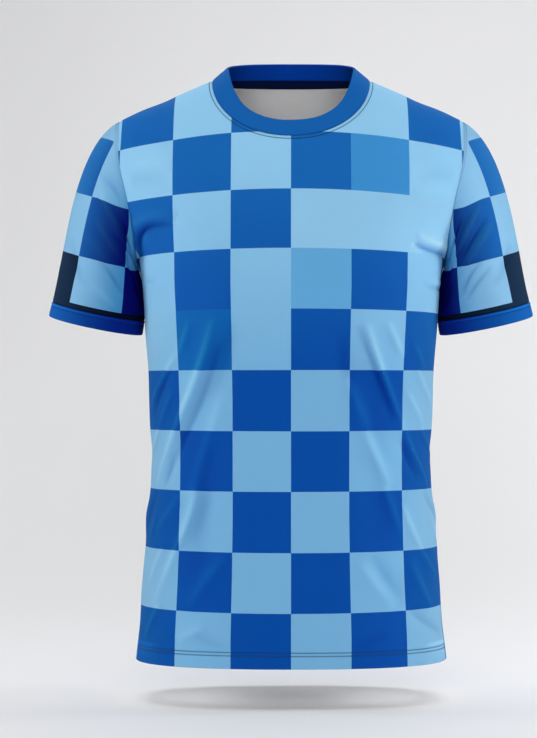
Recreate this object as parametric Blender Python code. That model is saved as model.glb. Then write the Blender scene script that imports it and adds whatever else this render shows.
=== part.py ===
"""Round-necked, short-sleeved volleyball jersey, filled out as if worn, with no wearer.

The scene is in metres and +Z is up. The front of the jersey faces -Y.
The origin lies midway between the two points where the shoulder seams meet the neck.
Sizes below are millimetres, on the middle of the cloth. Tables of heights run from low to high.
"""

import bmesh
import bpy
import numpy as np

MM = 0.001

# Cloth
CLOTH = 2.0  # wall of the body and sleeves
RIB = 3.0  # folded band of the collar and cuffs
RIB_TOP = 0.45  # share of that wall left at the collar's rounded top
SEAM_GAP = 0.3  # between two sewn pieces
HEM_TURN = 19.0  # height of the turned-up hem
HEM_FOLD = 1.0  # what the second layer adds inside the hem
HEM_STEP = 1.5  # height over which that layer ends
TAPE_WALL = 0.8
TAPE_TALL = 10.0
TAPE_FLAT = 0.38  # how much of its height it keeps where it lies flat on the shoulder

# Body
HEM_Z = -690.0
UNDERARM_Z = -214.0
TIP_Z = -48.5  # the shoulder tip, where the shoulder seam meets the sleeve
FRONT_NECK_Z = -75.0
BACK_NECK_Z = 11.0
NECK_HALF = 93.6
NECK_DEEP = 80.0  # half depth of the neck opening, front to back
NECK_SQUARE = 2.1  # squareness of the front neckline

SIDE_SEAM = (  # z, half width
    (HEM_Z, 185.0),
    (-670.0, 182.6),
    (-650.0, 180.2),
    (-600.0, 177.0),
    (-583.0, 175.4),
    (-550.0, 172.4),
    (-516.0, 171.8),
    (-497.0, 168.2),
    (-460.0, 165.5),
    (-430.0, 167.0),
    (-382.0, 168.8),
    (-353.0, 169.4),
    (-305.0, 173.0),
    (-250.0, 176.5),
    (UNDERARM_Z, 181.0),
)
SHOULDER_SEAM = (  # z, half width
    (TIP_Z, 204.0),
    (-36.0, 177.5),
    (-26.4, 152.5),
    (-16.8, 132.5),
    (-7.2, 110.5),
    (0.0, NECK_HALF),
)
BODY_DEPTH = (  # z, front depth, back depth, squareness of the section
    (HEM_Z, 124.0, 114.0, 2.40),
    (-620.0, 123.0, 108.0, 2.40),
    (-540.0, 120.0, 99.0, 2.40),
    (-460.0, 117.0, 93.0, 2.40),
    (-380.0, 119.0, 97.0, 2.40),
    (-300.0, 121.0, 105.0, 2.55),
    (UNDERARM_Z, 119.0, 112.0, 2.55),
    (-160.0, 113.0, 113.0, 2.25),
    (-120.0, 105.0, 110.0, 2.05),
    (-77.0, 91.0, 101.0, 2.00),
    (-45.0, 74.0, 90.0, 2.00),
    (-18.0, 54.0, 80.0, 2.00),
    (0.0, 36.0, 74.0, 2.00),
    (BACK_NECK_Z, 30.0, 70.0, 2.00),
)

# Armhole: an egg from the side
ARMHOLE_FRONT = 62.0  # reach in front of the side seam
ARMHOLE_BACK = 70.0
ARMHOLE_SKEW = 0.18  # how much wider it is low down
ARMHOLE_LINE = (  # z, half width of the body at the armhole
    (UNDERARM_Z, 181.0),
    (-190.0, 183.5),
    (-150.0, 190.5),
    (-100.0, 201.0),
    (TIP_Z, 204.0),
)
UNDERARM_FLARE = 2.5  # how far the underarm seam stands out from the body
SEAM_SLOPE = (1.0, 0.35, 0.42)  # out, back towards the side, and down, of the sleeve as it leaves

# Sleeve: it ends in an ellipse on a leaning plane
SLEEVE_END = (232.4, 18.0, -274.2)  # its centre
SLEEVE_WIDE = 55.6  # half sizes of the ellipse
SLEEVE_DEEP = 50.0
SLEEVE_LEAN = 11.8  # degrees that the plane leans off level, its outside up
SLEEVE_HANG = 14.5  # degrees off vertical of the cloth as it reaches the end
CUFF_DROP = 6.0  # degrees that the front of the cuff hangs lower
CUFF_TALL = 17.5
CUFF_FLARE = 0.6
SLEEVE_LINES = (  # place, pull at the seam, pull at the end, slope down as it leaves
    ("shoulder", 182.0, 195.0, 0.45),
    ("front and back", 70.0, 110.0, 0.85),
    ("underarm", 32.0, 60.0, 0.75),
)

# Collar
COLLAR = (  # share of the way from front to back, lean inwards in degrees, height
    (0.0, 31.0, 23.0),
    (0.5, 50.0, 24.0),
    (1.0, 22.0, 20.5),
)
COLLAR_ROUND = 1.6  # height of its rounded top
COLLAR_MIDDLE = 0.45  # share of its height at the row between

# Folds: each runs through three points, given as distance across from the centre line and z,
# and pushes the cloth out, or in where the push is negative. Both halves have them.
FRONT_FOLDS = (  # name, across and z at the start, at the bend and at the end, half width, push
    ("high waist ridge", 124, -290, 148, -333, 189, -378, 12, 2.5),
    ("long waist ridge", 91, -289, 134, -383, 184, -473, 9, 3.5),
    ("long waist trough", 103, -347, 130, -413, 173, -484, 8, -3.5),
    ("soft waist ridge", 74, -353, 104, -440, 133, -526, 14, 3.0),
    ("hip ridge", 127, -505, 150, -567, 180, -625, 13, 3.5),
    ("hip trough", 94, -492, 108, -540, 135, -578, 12, -2.5),
    ("low trough", 138, -568, 155, -605, 182, -645, 12, -3.0),
    ("low front ridge", 60, -545, 85, -585, 118, -625, 18, 1.8),
    ("armpit crease", 205, -196, 174, -177, 138, -173, 9, -2.2),
    ("chest trough", 205, -124, 168, -119, 128, -124, 13, -1.6),
)
BACK_FOLDS = (
    ("high waist ridge", 110, -285, 150, -350, 195, -405, 12, 2.8),
    ("long waist ridge", 84, -305, 130, -398, 182, -478, 10, 3.2),
    ("long waist trough", 100, -352, 136, -425, 180, -495, 9, -3.2),
    ("small of the back", 40, -390, 82, -430, 128, -505, 16, -2.6),
    ("soft waist ridge", 60, -360, 100, -440, 140, -535, 14, 2.6),
    ("hip ridge", 118, -510, 152, -575, 190, -640, 13, 3.2),
    ("hip trough", 92, -500, 122, -562, 158, -620, 12, -2.8),
    ("armpit crease", 205, -190, 172, -180, 132, -186, 10, -2.4),
    ("shoulder blade ridge", 196, -150, 150, -140, 98, -150, 15, 2.0),
    ("shoulder blade trough", 190, -120, 146, -104, 92, -106, 14, -1.6),
)
SLEEVE_FOLDS = (  # across from the sleeve's outer line, and down from its seam as a negative z
    ("drape ridge", 62, -25, 88, -75, 122, -120, 11, 2.4),
    ("armpit trough", 92, -18, 108, -48, 132, -74, 9, -2.0),
    ("low trough", 66, -84, 94, -116, 132, -146, 10, -2.0),
    ("cuff trough", 28, -150, 44, -172, 70, -190, 12, -1.4),
)
SLEEVE_FOLD_DROP = 230.0  # length of sleeve that the fold table stands for
FOLD_FADE = 0.7  # how soon a fold reaches its full push; lower is sooner
SEAM_FADE = 8  # how close to a panel's edge its folds go on; higher is closer

# Grid
NECK_COLUMNS = 9  # on each half, from the centre to the neck point
SHOULDER_COLUMNS = 10
ARMHOLE_ROWS = 12
BODY_ROWS = 20
SLEEVE_ROWS = 12
NECK_SHARE = 0.52  # share of the half panel that the neck's columns take, low down
EDGE_SHARE = 0.5  # share of the half panel from where its rows bend towards the armhole's points
SAMPLES = 161  # points on a curve that is measured

FRONT, BACK = -1, 1

MATERIALS = {  # colour, roughness
    "light_blue": ((0.28, 0.56, 0.80), 0.75),
    "royal_blue": ((0.015, 0.13, 0.43), 0.7),
    "navy": ((0.01, 0.02, 0.07), 0.8),
}


def smooth_read(at, table, column):
    """Value of a table's column at the given first-column values, on a smooth curve."""
    rows = np.array(table)
    known, value = rows[:, 0], rows[:, column]
    at = np.clip(at, known[0], known[-1])
    slope = np.gradient(value, known)
    span = np.clip(np.searchsorted(known, at, side="right") - 1, 0, len(known) - 2)
    width = known[span + 1] - known[span]
    t = (at - known[span]) / width
    return (
        value[span] * (1 + 2 * t) * (1 - t) ** 2
        + slope[span] * width * t * (1 - t) ** 2
        + value[span + 1] * t * t * (3 - 2 * t)
        - slope[span + 1] * width * t * t * (1 - t)
    )


def unit(vectors):
    return vectors / np.linalg.norm(vectors, axis=-1, keepdims=True)


def armhole_reach(turn, side):
    """How far the armhole lies from the side seam's plane; turn is 0 at the tip and pi underarm."""
    reach = ARMHOLE_FRONT if side == FRONT else ARMHOLE_BACK
    return reach * np.sin(turn) * (1 - ARMHOLE_SKEW * np.cos(turn))


def section(z, side):
    """Half width, depth and squareness of the front or back half of the body's section."""
    depth = smooth_read(z, BODY_DEPTH, 1 if side == FRONT else 2)
    square = smooth_read(z, BODY_DEPTH, 3)
    below, above = smooth_read(z, SIDE_SEAM, 1), smooth_read(z, SHOULDER_SEAM, 1)
    middle, tall = (TIP_Z + UNDERARM_Z) / 2, (TIP_Z - UNDERARM_Z) / 2
    turn = np.arccos(np.clip((z - middle) / tall, -1, 1))
    share = armhole_reach(turn, side) / depth
    through = smooth_read(z, ARMHOLE_LINE, 1) / (1 - share**square) ** (1 / square)
    half = np.where(z < UNDERARM_Z, below, np.where(z > TIP_Z, above, through))
    return half, depth, square


def on_section(angle, half, depth, square):
    """Distance out and distance forward of a section's point, at an angle from the centre line."""
    sine, cosine = np.sin(angle), np.cos(angle)
    radius = (np.abs(sine / half) ** square + np.abs(cosine / depth) ** square) ** (-1 / square)
    return radius * sine, radius * cosine


def rounds(z, side):
    """For each z: angles, distances out, and distances round the section from the centre line."""
    half, depth, square = (value[..., None] for value in section(z, side))
    angle = np.linspace(0, np.pi / 2, SAMPLES)
    out, away = on_section(angle, half, depth, square)
    length = np.cumsum(np.hypot(np.diff(out), np.diff(away)), axis=-1)
    return angle, out, np.concatenate([np.zeros(z.shape + (1,)), length], axis=-1)


def read_each(at, known, value):
    """np.interp for each place of an array, along the last axis of known."""
    found = np.empty(at.shape)
    for place in np.ndindex(at.shape):
        values = value if value.ndim == 1 else value[place]
        found[place] = np.interp(at[place], known[place], values)
    return found


def half_girth(z, side):
    return rounds(z, side)[2][..., -1]


def across_at(x, z, side):
    """Distance round the section from the centre line to where it is x wide."""
    _, out, length = rounds(z, side)
    return read_each(x, out, length)


def body_point(across, z, side):
    """Point of the body at a distance round the section from the centre line."""
    angle, _, length = rounds(z, side)
    half, depth, square = section(z, side)
    x, away = on_section(read_each(np.abs(across), length, angle), half, depth, square)
    return np.stack([np.sign(across) * x, side * away, z], axis=-1)


def fold_push(across, z, folds):
    """How far the folds push the cloth out. Each dies away at its ends."""
    t = np.linspace(0, 1, SAMPLES)
    push = np.zeros(z.shape)
    for _, x0, z0, x1, z1, x2, z2, wide, out in folds:
        bend = np.array([2 * x1 - (x0 + x2) / 2, 2 * z1 - (z0 + z2) / 2])
        x = (1 - t) ** 2 * x0 + 2 * t * (1 - t) * bend[0] + t * t * x2
        height = (1 - t) ** 2 * z0 + 2 * t * (1 - t) * bend[1] + t * t * z2
        away = np.hypot(np.abs(across)[..., None] - x, z[..., None] - height)
        fade = np.sin(np.pi * t[away.argmin(axis=-1)]) ** FOLD_FADE
        push += out * fade * np.exp(-((away.min(axis=-1) / wide) ** 2))
    return push


def neckline(side):
    """x and z of the neckline, from the centre line to the neck point."""
    turn = np.linspace(np.pi / 2, 0, NECK_COLUMNS + 1)
    power = 2 / NECK_SQUARE if side == FRONT else 1.0
    low = FRONT_NECK_Z if side == FRONT else BACK_NECK_Z
    return NECK_HALF * np.cos(turn).clip(0) ** power, low * np.sin(turn).clip(0) ** power


def shoulder_seam():
    """x and z of the shoulder seam, from the neck point to the tip."""
    rows = np.array(SHOULDER_SEAM)
    height = np.linspace(rows[0, 0], rows[-1, 0], SAMPLES)
    x = np.linspace(NECK_HALF, rows[0, 1], SHOULDER_COLUMNS + 1)
    half = smooth_read(height, SHOULDER_SEAM, 1)
    return x, np.interp(x, half[::-1], height[::-1])


def armhole(side, flare=0.0):
    """Points of the armhole, from the underarm to the tip, on the -X side."""
    turn = np.linspace(np.pi, 0, ARMHOLE_ROWS + 1)
    z = (TIP_Z + UNDERARM_Z) / 2 + (TIP_Z - UNDERARM_Z) / 2 * np.cos(turn)
    reach = armhole_reach(turn, side)
    reach[[0, -1]] = 0.0
    out = smooth_read(z, ARMHOLE_LINE, 1) + flare * np.cos(turn).clip(-1, 0) ** 2
    return np.stack([-out, side * reach, z], axis=-1)


def armhole_frame(points, side):
    """For each point of an armhole: the way the sleeve leaves, and the way out of the cloth."""
    along = unit(np.gradient(points, axis=0))
    along[0], along[-1] = (0.0, side, 0.0), (0.0, -side, 0.0)
    middle, tall = (TIP_Z + UNDERARM_Z) / 2, (TIP_Z - UNDERARM_Z) / 2
    high = ((points[:, 2] - middle) / tall).clip(-1, 1)
    out, back, down = SEAM_SLOPE
    backwards, downwards = -side * back * np.sqrt(1 - high**2), -down * (1 + high) / 2
    leaving = np.stack([0 * high - out, backwards, downwards], axis=-1)
    leaving = unit(leaving - along * (leaving * along).sum(axis=-1, keepdims=True))
    return leaving, -side * np.cross(along, leaving)


def way_round_neck(points):
    """0 at the front of the neck, 0.5 at its sides and 1 at the back."""
    x, y = points[:, 0] / NECK_HALF**2, points[:, 1] / NECK_DEEP**2
    return np.arctan2(np.abs(x), -y) / np.pi


def neck_frame(points, side):
    """For each point of a panel's neckline: the way the collar rises, and the way out of it."""
    along = unit(np.gradient(points, axis=0))
    along[0], along[-1] = (0.0, side, 0.0), (0.0, -side, 0.0)
    inwards = unit(-points[:, :2] / (NECK_HALF**2, NECK_DEEP**2))
    lean = np.radians(smooth_read(way_round_neck(points), COLLAR, 1))
    rising = np.column_stack([inwards * np.sin(lean)[:, None], np.cos(lean)])
    rising = unit(rising - along * (rising * along).sum(axis=-1, keepdims=True))
    return rising, -side * np.cross(along, rising)


def mirrored(points):
    return points * (-1.0, 1.0, 1.0)


def unturned(points):
    return points


def top_rows(side):
    """Distance across and z of half a panel's top edge, and of the row that lies one tape width below."""
    neck_x, neck_z = neckline(side)
    _, seam_z = shoulder_seam()
    top = np.concatenate([across_at(neck_x, neck_z, side), half_girth(seam_z, side)[1:]])
    top_z = np.concatenate([neck_z, seam_z[1:]])
    steep = np.sin(np.linspace(np.pi / 2, 0, NECK_COLUMNS + 1))
    under_neck = neck_z - TAPE_TALL * (TAPE_FLAT + (1 - TAPE_FLAT) * steep)
    below = top.copy()
    if side == FRONT:
        rising = neck_frame(neck_points(side), side)[0][NECK_COLUMNS:]
        under_neck = neck_z - TAPE_TALL * rising[:, 2]
        below[: NECK_COLUMNS + 1] = across_at(neck_x - TAPE_TALL * rising[:, 0], under_neck, side)
    tip_drop = TIP_Z - armhole(side)[-2, 2]
    under_seam = seam_z - np.linspace(neck_z[-1] - under_neck[-1], tip_drop, SHOULDER_COLUMNS + 1)
    return top, top_z, below, np.concatenate([under_neck, under_seam[1:]])


def panel_layout(side):
    """Distance across and z of each grid point of half a panel, from the centre line to its edge."""
    top, top_z, below, below_z = top_rows(side)
    share = np.concatenate(
        [np.linspace(0, NECK_SHARE, NECK_COLUMNS + 1), np.linspace(NECK_SHARE, 1, SHOULDER_COLUMNS + 1)[1:]]
    )
    low_z = np.linspace(HEM_Z + HEM_TURN, UNDERARM_Z, BODY_ROWS + 1)[:-1]
    low_z = np.concatenate([[HEM_Z, HEM_Z + HEM_TURN - HEM_STEP], low_z])[:, None] + 0 * share
    low = share * half_girth(low_z[:, -1], side)[:, None]

    edge = armhole(side)[:-1]
    climb = np.linspace(0, 1, ARMHOLE_ROWS)[:, None]
    high_z = UNDERARM_Z + (below_z - UNDERARM_Z) * climb
    near_edge = np.clip((share - EDGE_SHARE) / (1 - EDGE_SHARE), 0, 1) ** 2
    high_z = high_z + (edge[:, 2:] - high_z[:, -1:]) * near_edge
    width = across_at(-edge[:, 0], edge[:, 2], side)[:, None]
    high = share * width * (1 - climb**2) + below * width / width[-1] * climb**2
    across = np.concatenate([low, high, top[None]])
    return across, np.concatenate([low_z, high_z, top_z[None]])


def cloth_point(across, z, side, folds, width):
    """Point of a panel's cloth, pushed out of the body's section by the folds away from its edges."""
    points = body_point(across, z, side)
    room = 1 - np.clip(np.abs(across) / width, 0, 1) ** SEAM_FADE
    push = fold_push(across, z, folds) * room
    return points + facing(lambda a, h: body_point(a, h, side), across, z, side) * push[..., None]


def facing(point_at, across, z, side, step=1.0):
    """The way out of a surface, from its slopes towards the centre line and downwards."""
    half = np.where(across < 0, -1.0, 1.0)
    here = point_at(across, z)
    sideways = (here - point_at(across - half * step, z)) * half[..., None]
    upwards = here - point_at(across, z - step)
    return unit(-side * np.cross(sideways, upwards))


def panel(side, folds):
    """Mid points of a panel's cloth and the way out of it there, by rows and columns."""
    across, z = panel_layout(side)
    width = across[:, -1:]
    points = cloth_point(across, z, side, folds, width)
    out = facing(lambda a, h: cloth_point(a, h, side, folds, width), across, z, side)
    points = np.concatenate([mirrored(points[:, :0:-1]), points], axis=1)
    out = np.concatenate([mirrored(out[:, :0:-1]), out], axis=1)
    set_seams(points, out, side)
    return points, out


def set_seams(points, out, side):
    """Puts a panel's edges on their seams, half the gap back from the next piece."""
    low = len(points) - ARMHOLE_ROWS - 1
    seam = np.concatenate([points[:low, 0], armhole(side)[:1]])
    seam_out = seam_facing(seam)[:low]
    armhole_points = armhole(side, UNDERARM_FLARE)
    leaving, armhole_out = armhole_frame(armhole_points, side)
    armhole_points = armhole_points - leaving * SEAM_GAP / 2
    shoulder = points[-1, 1 : SHOULDER_COLUMNS + 1]
    shoulder_out = seam_facing(np.concatenate([armhole(side)[-1:], shoulder]))[1:]
    line = neck_points(side)
    rising, neck_out = neck_frame(line, side)
    line = line - rising * SEAM_GAP / 2

    edge = np.concatenate([seam[:low], armhole_points, shoulder[:-1]])
    edge_out = np.concatenate([seam_out, armhole_out, shoulder_out[:-1]])
    on_side_plane = np.r_[0 : low + 1, low + ARMHOLE_ROWS : len(edge)]
    edge[on_side_plane, 1] = side * SEAM_GAP / 2
    line[[0, -1], 1] = side * SEAM_GAP / 2
    for column, turned in ((0, unturned), (-1, mirrored)):
        points[:, column] = turned(edge[: len(points)])
        out[:, column] = turned(edge_out[: len(points)])
    seam_top, seam_top_out = edge[len(points) - 1 :], edge_out[len(points) - 1 :]
    points[-1] = np.concatenate([seam_top, line, mirrored(seam_top)[::-1]])
    out[-1] = np.concatenate([seam_top_out, neck_out, mirrored(seam_top_out)[::-1]])


def seam_facing(seam):
    """The way out along a seam in the plane of the sides, for points from the hem round to the neck."""
    rise = np.gradient(seam, axis=0)
    return unit(np.stack([-rise[:, 2], 0 * rise[:, 1], rise[:, 0]], axis=-1))


def neck_points(side):
    """The whole neckline of a panel, from -X to +X."""
    x, z = neckline(side)
    half = body_point(across_at(x, z, side), z, side)
    half[-1, 1] = 0.0
    return np.concatenate([mirrored(half[::-1]), half[1:]])


def sleeve_end_axes():
    """Outwards, forwards and down directions of the plane of the sleeve's end, on the -X side."""
    lean, drop = np.radians(SLEEVE_LEAN), np.radians(CUFF_DROP)
    outwards = np.array([-np.cos(lean), 0.0, np.sin(lean)])
    forwards = np.array([0.0, -np.cos(drop), -np.sin(drop)])
    return outwards, forwards, np.cross(forwards, outwards)


def sleeve_end(turn, grow=0.0):
    """Points of the sleeve's end and the way out there, for turns from the outside to the front."""
    outwards, forwards, _ = sleeve_end_axes()
    cosine, sine = np.cos(turn)[:, None], np.sin(turn)[:, None]
    wide, deep = SLEEVE_WIDE + grow, SLEEVE_DEEP + grow
    centre = np.array(SLEEVE_END) * (-1.0, 1.0, 1.0)
    points = centre + outwards * wide * cosine + forwards * deep * sine
    return points, unit(outwards * cosine / wide + forwards * sine / deep)


def sleeve_seam():
    """Ring of armhole points from the tip round the front, with the ways on and out, and the turns."""
    parts = []
    for side in (FRONT, BACK):
        edge = armhole(side, UNDERARM_FLARE)
        leaving, outside = armhole_frame(edge, side)
        parts.append(np.concatenate([edge, leaving, outside], axis=1))
    ring = np.concatenate([parts[0][::-1], parts[1][1:-1]])
    turn = np.linspace(0, 2 * np.pi, len(ring) + 1)[:-1]
    return ring[:, :3], ring[:, 3:6], ring[:, 6:], turn


def sleeve():
    """Mid points of the -X sleeve and the way out there, from its seam to its end."""
    seam, leaving, seam_out, turn = sleeve_seam()
    end, end_out = sleeve_end(turn)
    down = sleeve_end_axes()[2]
    start = seam + leaving * SEAM_GAP / 2
    end = end - down * SEAM_GAP / 2
    cosine = np.cos(turn)[:, None]
    top, middle, under = (np.array(row[1:]) for row in SLEEVE_LINES)
    pulls = middle + (top - under) / 2 * cosine + ((top + under) / 2 - middle) * cosine**2
    hang = np.radians(SLEEVE_HANG)
    axis = np.array([-np.sin(hang), 0.0, -np.cos(hang)])
    away = unit(np.stack([0 * turn - 1, 0 * turn, -pulls[:, 2]], axis=-1))
    t = np.linspace(0, 1, SLEEVE_ROWS + 1)[:, None, None]
    points = (
        start * (1 + 2 * t) * (1 - t) ** 2
        + away * pulls[:, :1] * t * (1 - t) ** 2
        + end * t * t * (3 - 2 * t)
        - axis * pulls[:, 1:2] * t * t * (1 - t)
    )
    round_it = np.roll(points, -1, axis=1) - np.roll(points, 1, axis=1)
    out = unit(np.cross(np.gradient(points, axis=0), round_it))
    across = np.minimum(turn, 2 * np.pi - turn) * SLEEVE_DEEP + 0 * points[..., 0]
    push = fold_push(across, -SLEEVE_FOLD_DROP * t[..., 0] + 0 * across, SLEEVE_FOLDS)
    points = points + out * (push * np.sin(np.pi * t[..., 0]) ** 0.5)[..., None]
    out[0], out[-1] = seam_out, end_out
    return points, out


def cuff():
    turn = sleeve_seam()[3]
    down = sleeve_end_axes()[2]
    rows = [sleeve_end(turn, CUFF_FLARE * share) for share in (0.0, 0.5, 1.0)]
    drops = (SEAM_GAP / 2, CUFF_TALL / 2, CUFF_TALL)
    points = np.stack([row[0] + down * drop for row, drop in zip(rows, drops)])
    return points, np.stack([row[1] for row in rows])


def collar():
    """Mid points of the collar's ring and the way out there, from its seam up."""
    lines = [neck_points(side) for side in (FRONT, BACK)]
    frames = [neck_frame(line, side) for line, side in zip(lines, (FRONT, BACK))]
    ring = np.concatenate([lines[0], lines[1][-2:0:-1]])
    rising = np.concatenate([frames[0][0], frames[1][0][-2:0:-1]])
    out = np.concatenate([frames[0][1], frames[1][1][-2:0:-1]])
    tall = smooth_read(way_round_neck(ring), COLLAR, 2)[:, None]
    heights = (SEAM_GAP / 2, tall * COLLAR_MIDDLE, tall - COLLAR_ROUND, tall)
    points = np.stack([ring + rising * height for height in heights])
    return points, np.stack([out] * len(heights))


def shorter_diagonals(points, ring):
    """For each cell of a grid, whether its second diagonal is the shorter one."""
    if ring:
        points = np.concatenate([points, points[:, :1]], axis=1)
    first = np.linalg.norm(points[1:, 1:] - points[:-1, :-1], axis=-1)
    second = np.linalg.norm(points[1:, :-1] - points[:-1, 1:], axis=-1)
    return second < first


def cloth_wall(name, points, out, outer, inner, material, ring=False):
    """A closed wall on a grid of mid points; outer and inner are its two thicknesses, row by row."""
    rows, columns = points.shape[:2]
    outer, inner = (np.broadcast_to(value, rows)[:, None, None] for value in (outer, inner))
    skins = np.concatenate([points + out * outer, points - out * inner]) * MM
    cloth = bmesh.new()
    verts = np.array([cloth.verts.new(point) for point in skins.reshape(-1, 3)], dtype=object)
    verts = verts.reshape(2, rows, columns)
    if ring:
        verts = np.concatenate([verts, verts[:, :, :1]], axis=2)
    grids = [verts[0], verts[1], verts[:, 0], verts[:, -1]]
    if not ring:
        grids += [verts[:, :, 0], verts[:, :, -1]]
    crossed = shorter_diagonals(points, ring)
    for number, grid in enumerate(grids):
        for row in range(len(grid) - 1):
            for i in range(grid.shape[1] - 1):
                a, b, c, d = grid[row, i], grid[row, i + 1], grid[row + 1, i + 1], grid[row + 1, i]
                if number < 2 and crossed[row, i]:
                    a, b, c, d = b, c, d, a
                cloth.faces.new((a, b, c))
                cloth.faces.new((a, c, d))
    bmesh.ops.recalc_face_normals(cloth, faces=cloth.faces)
    if cloth.calc_volume(signed=True) < 0:
        bmesh.ops.reverse_faces(cloth, faces=cloth.faces)
    mesh = bpy.data.meshes.new(name)
    cloth.to_mesh(mesh)
    cloth.free()
    mesh.materials.append(material)
    return bpy.data.objects.new(name, mesh)


def cloth_material(name, colour, roughness):
    material = bpy.data.materials.new(name)
    material.use_nodes = True
    shader = material.node_tree.nodes["Principled BSDF"]
    shader.inputs["Base Color"].default_value = (*colour, 1.0)
    shader.inputs["Roughness"].default_value = roughness
    shader.inputs["Metallic"].default_value = 0.0
    material.diffuse_color = (*colour, 1.0)
    return material


def clear_scene():
    for old in list(bpy.data.objects):
        bpy.data.objects.remove(old, do_unlink=True)


def build():
    clear_scene()
    jersey = bpy.data.collections.new("volleyball_jersey")
    bpy.context.scene.collection.children.link(jersey)
    materials = {name: cloth_material(name, *look) for name, look in MATERIALS.items()}

    half = CLOTH / 2
    front, front_out = panel(FRONT, FRONT_FOLDS)
    back, back_out = panel(BACK, BACK_FOLDS)
    hem = np.full(len(front), half)
    hem[:2] += HEM_FOLD
    neck = slice(SHOULDER_COLUMNS, -SHOULDER_COLUMNS)
    tape = half + SEAM_GAP
    sleeve_points, sleeve_out = sleeve()
    cuff_points, cuff_out = cuff()
    collar_points, collar_out = collar()
    rib = np.array([RIB, RIB, RIB, RIB * RIB_TOP]) / 2

    light, royal, navy = (materials[name] for name in ("light_blue", "royal_blue", "navy"))
    pieces = [
        cloth_wall("front_panel", front, front_out, half, hem, light),
        cloth_wall("back_panel", back, back_out, half, hem, light),
        cloth_wall("collar_band", collar_points, collar_out, rib, rib, royal, True),
        cloth_wall("neck_tape", back[-2:, neck], back_out[-2:, neck], -tape, tape + TAPE_WALL, navy),
    ]
    for hand, turned in (("left", unturned), ("right", mirrored)):
        points, out = turned(sleeve_points), turned(sleeve_out)
        pieces.append(cloth_wall(hand + "_sleeve", points, out, half, half, light, True))
        points, out = turned(cuff_points), turned(cuff_out)
        pieces.append(cloth_wall(hand + "_cuff", points, out, RIB / 2, RIB / 2, royal, True))
    for piece in pieces:
        jersey.objects.link(piece)


build()
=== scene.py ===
import bpy
import mathutils
import numpy as np
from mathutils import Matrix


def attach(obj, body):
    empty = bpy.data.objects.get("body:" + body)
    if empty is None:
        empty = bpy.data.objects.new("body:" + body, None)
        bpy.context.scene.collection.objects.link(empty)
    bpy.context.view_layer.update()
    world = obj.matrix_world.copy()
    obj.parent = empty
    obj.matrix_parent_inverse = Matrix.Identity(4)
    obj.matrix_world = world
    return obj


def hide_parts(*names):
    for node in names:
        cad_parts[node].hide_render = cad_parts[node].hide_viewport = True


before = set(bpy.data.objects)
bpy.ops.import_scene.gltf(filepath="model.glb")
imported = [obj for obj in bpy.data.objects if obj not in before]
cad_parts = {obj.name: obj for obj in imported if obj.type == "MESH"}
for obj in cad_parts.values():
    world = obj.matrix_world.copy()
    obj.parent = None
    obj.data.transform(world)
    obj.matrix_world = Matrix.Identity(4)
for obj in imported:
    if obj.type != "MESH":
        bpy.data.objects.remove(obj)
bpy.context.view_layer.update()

mm = 0.001
frontSide, backSide = -1, 1
sectionSteps, heightSteps = 161, 200

# Everything below is in millimetres on the middle of the cloth, until a mesh is made.
# Tables of heights run from low to high.
bodyCut = {
    "hemZ": -690.0,
    "underarmZ": -214.0,
    "tipZ": -48.5,  # where the shoulder seam meets the sleeve
    "frontNeckZ": -75.0,
    "backNeckZ": 11.0,
    "neckHalf": 93.6,
    "neckDeep": 80.0,
    "neckSquare": 2.1,
    "sideSeam": (  # z, half width
        (-690, 185), (-670, 182.6),
        (-650, 180.2), (-600, 177),
        (-583, 175.4), (-550, 172.4),
        (-516, 171.8), (-497, 168.2),
        (-462, 165.8), (-441, 164.9),
        (-418, 167.2), (-382, 168.8),
        (-353, 169.4), (-305, 173),
        (-250, 176.5), (-214, 181),
    ),
    "shoulderSeam": (  # z, half width
        (-48.5, 204), (-36, 177.5),
        (-26.4, 152.5), (-16.8, 132.5),
        (-7.2, 110.5), (0, 93.6),
    ),
    "depth": (  # z, front depth, back depth, squareness of the section
        (-690, 124, 114, 2.40),
        (-620, 123, 108, 2.40),
        (-540, 120, 99, 2.40),
        (-460, 117, 93, 2.40),
        (-380, 119, 97, 2.40),
        (-300, 121, 105, 2.55),
        (-214, 119, 112, 2.55),
        (-160, 113, 113, 2.25),
        (-120, 105, 110, 2.05),
        (-77, 91, 101, 2.00),
        (-45, 74, 90, 2.00),
        (-18, 54, 80, 2.00),
        (0, 36, 74, 2.00),
        (11, 30, 70, 2.00),
    ),
}

armholeCut = {
    "frontReach": 62.0,
    "backReach": 70.0,
    "skew": 0.18,  # how much wider it is low down
    "flare": 2.5,  # how far the underarm seam stands out
    "flareFade": 16.0,
    "line": (  # z, half width of the body at the armhole
        (-214, 181), (-190, 183.5),
        (-150, 190.5), (-100, 201), (-48.5, 204),
    ),
    "slope": (1.0, 0.35, 0.42),  # out, back towards the side, and down, of the sleeve as it leaves
}

# The cloth's outer face lies 1 mm out of the middle line, as on the solids.
clothWall = {
    "outer": 1.0,
    "thick": 0.9,
    "hemTurn": 19.0,
    "hemRound": 0.9,
    "hemLayer": 0.95,
    "hemStitches": (15.0, 18.8),
    "neckStitch": 4.0,  # below the neck seam
    "seamRoll": 0.55,  # how deep the cloth rolls in at a seam
    "seamRollWide": 1.3,
    "seamRows": (8.0, 5.5, 3.4, 2.0, 1.1, 0.5, 0.0),  # distances of the grid lines from a seam
    "seamFade": 6.0,  # how far from a seam its own facing fades out
    "hemEdge": 0.4,  # over which the turned hem's upper edge fades
    "dentWide": 0.9,
    "hemDent": 0.4,
    "fineDent": 0.35,
}


def unit(vectors):
    return vectors / np.linalg.norm(vectors, axis=-1, keepdims=True)


def squareTo(along, way):
    return unit(way - along * (way * along).sum(axis=-1, keepdims=True))


def bell(distance, wide):
    return np.exp(-((distance / wide) ** 2))


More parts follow.
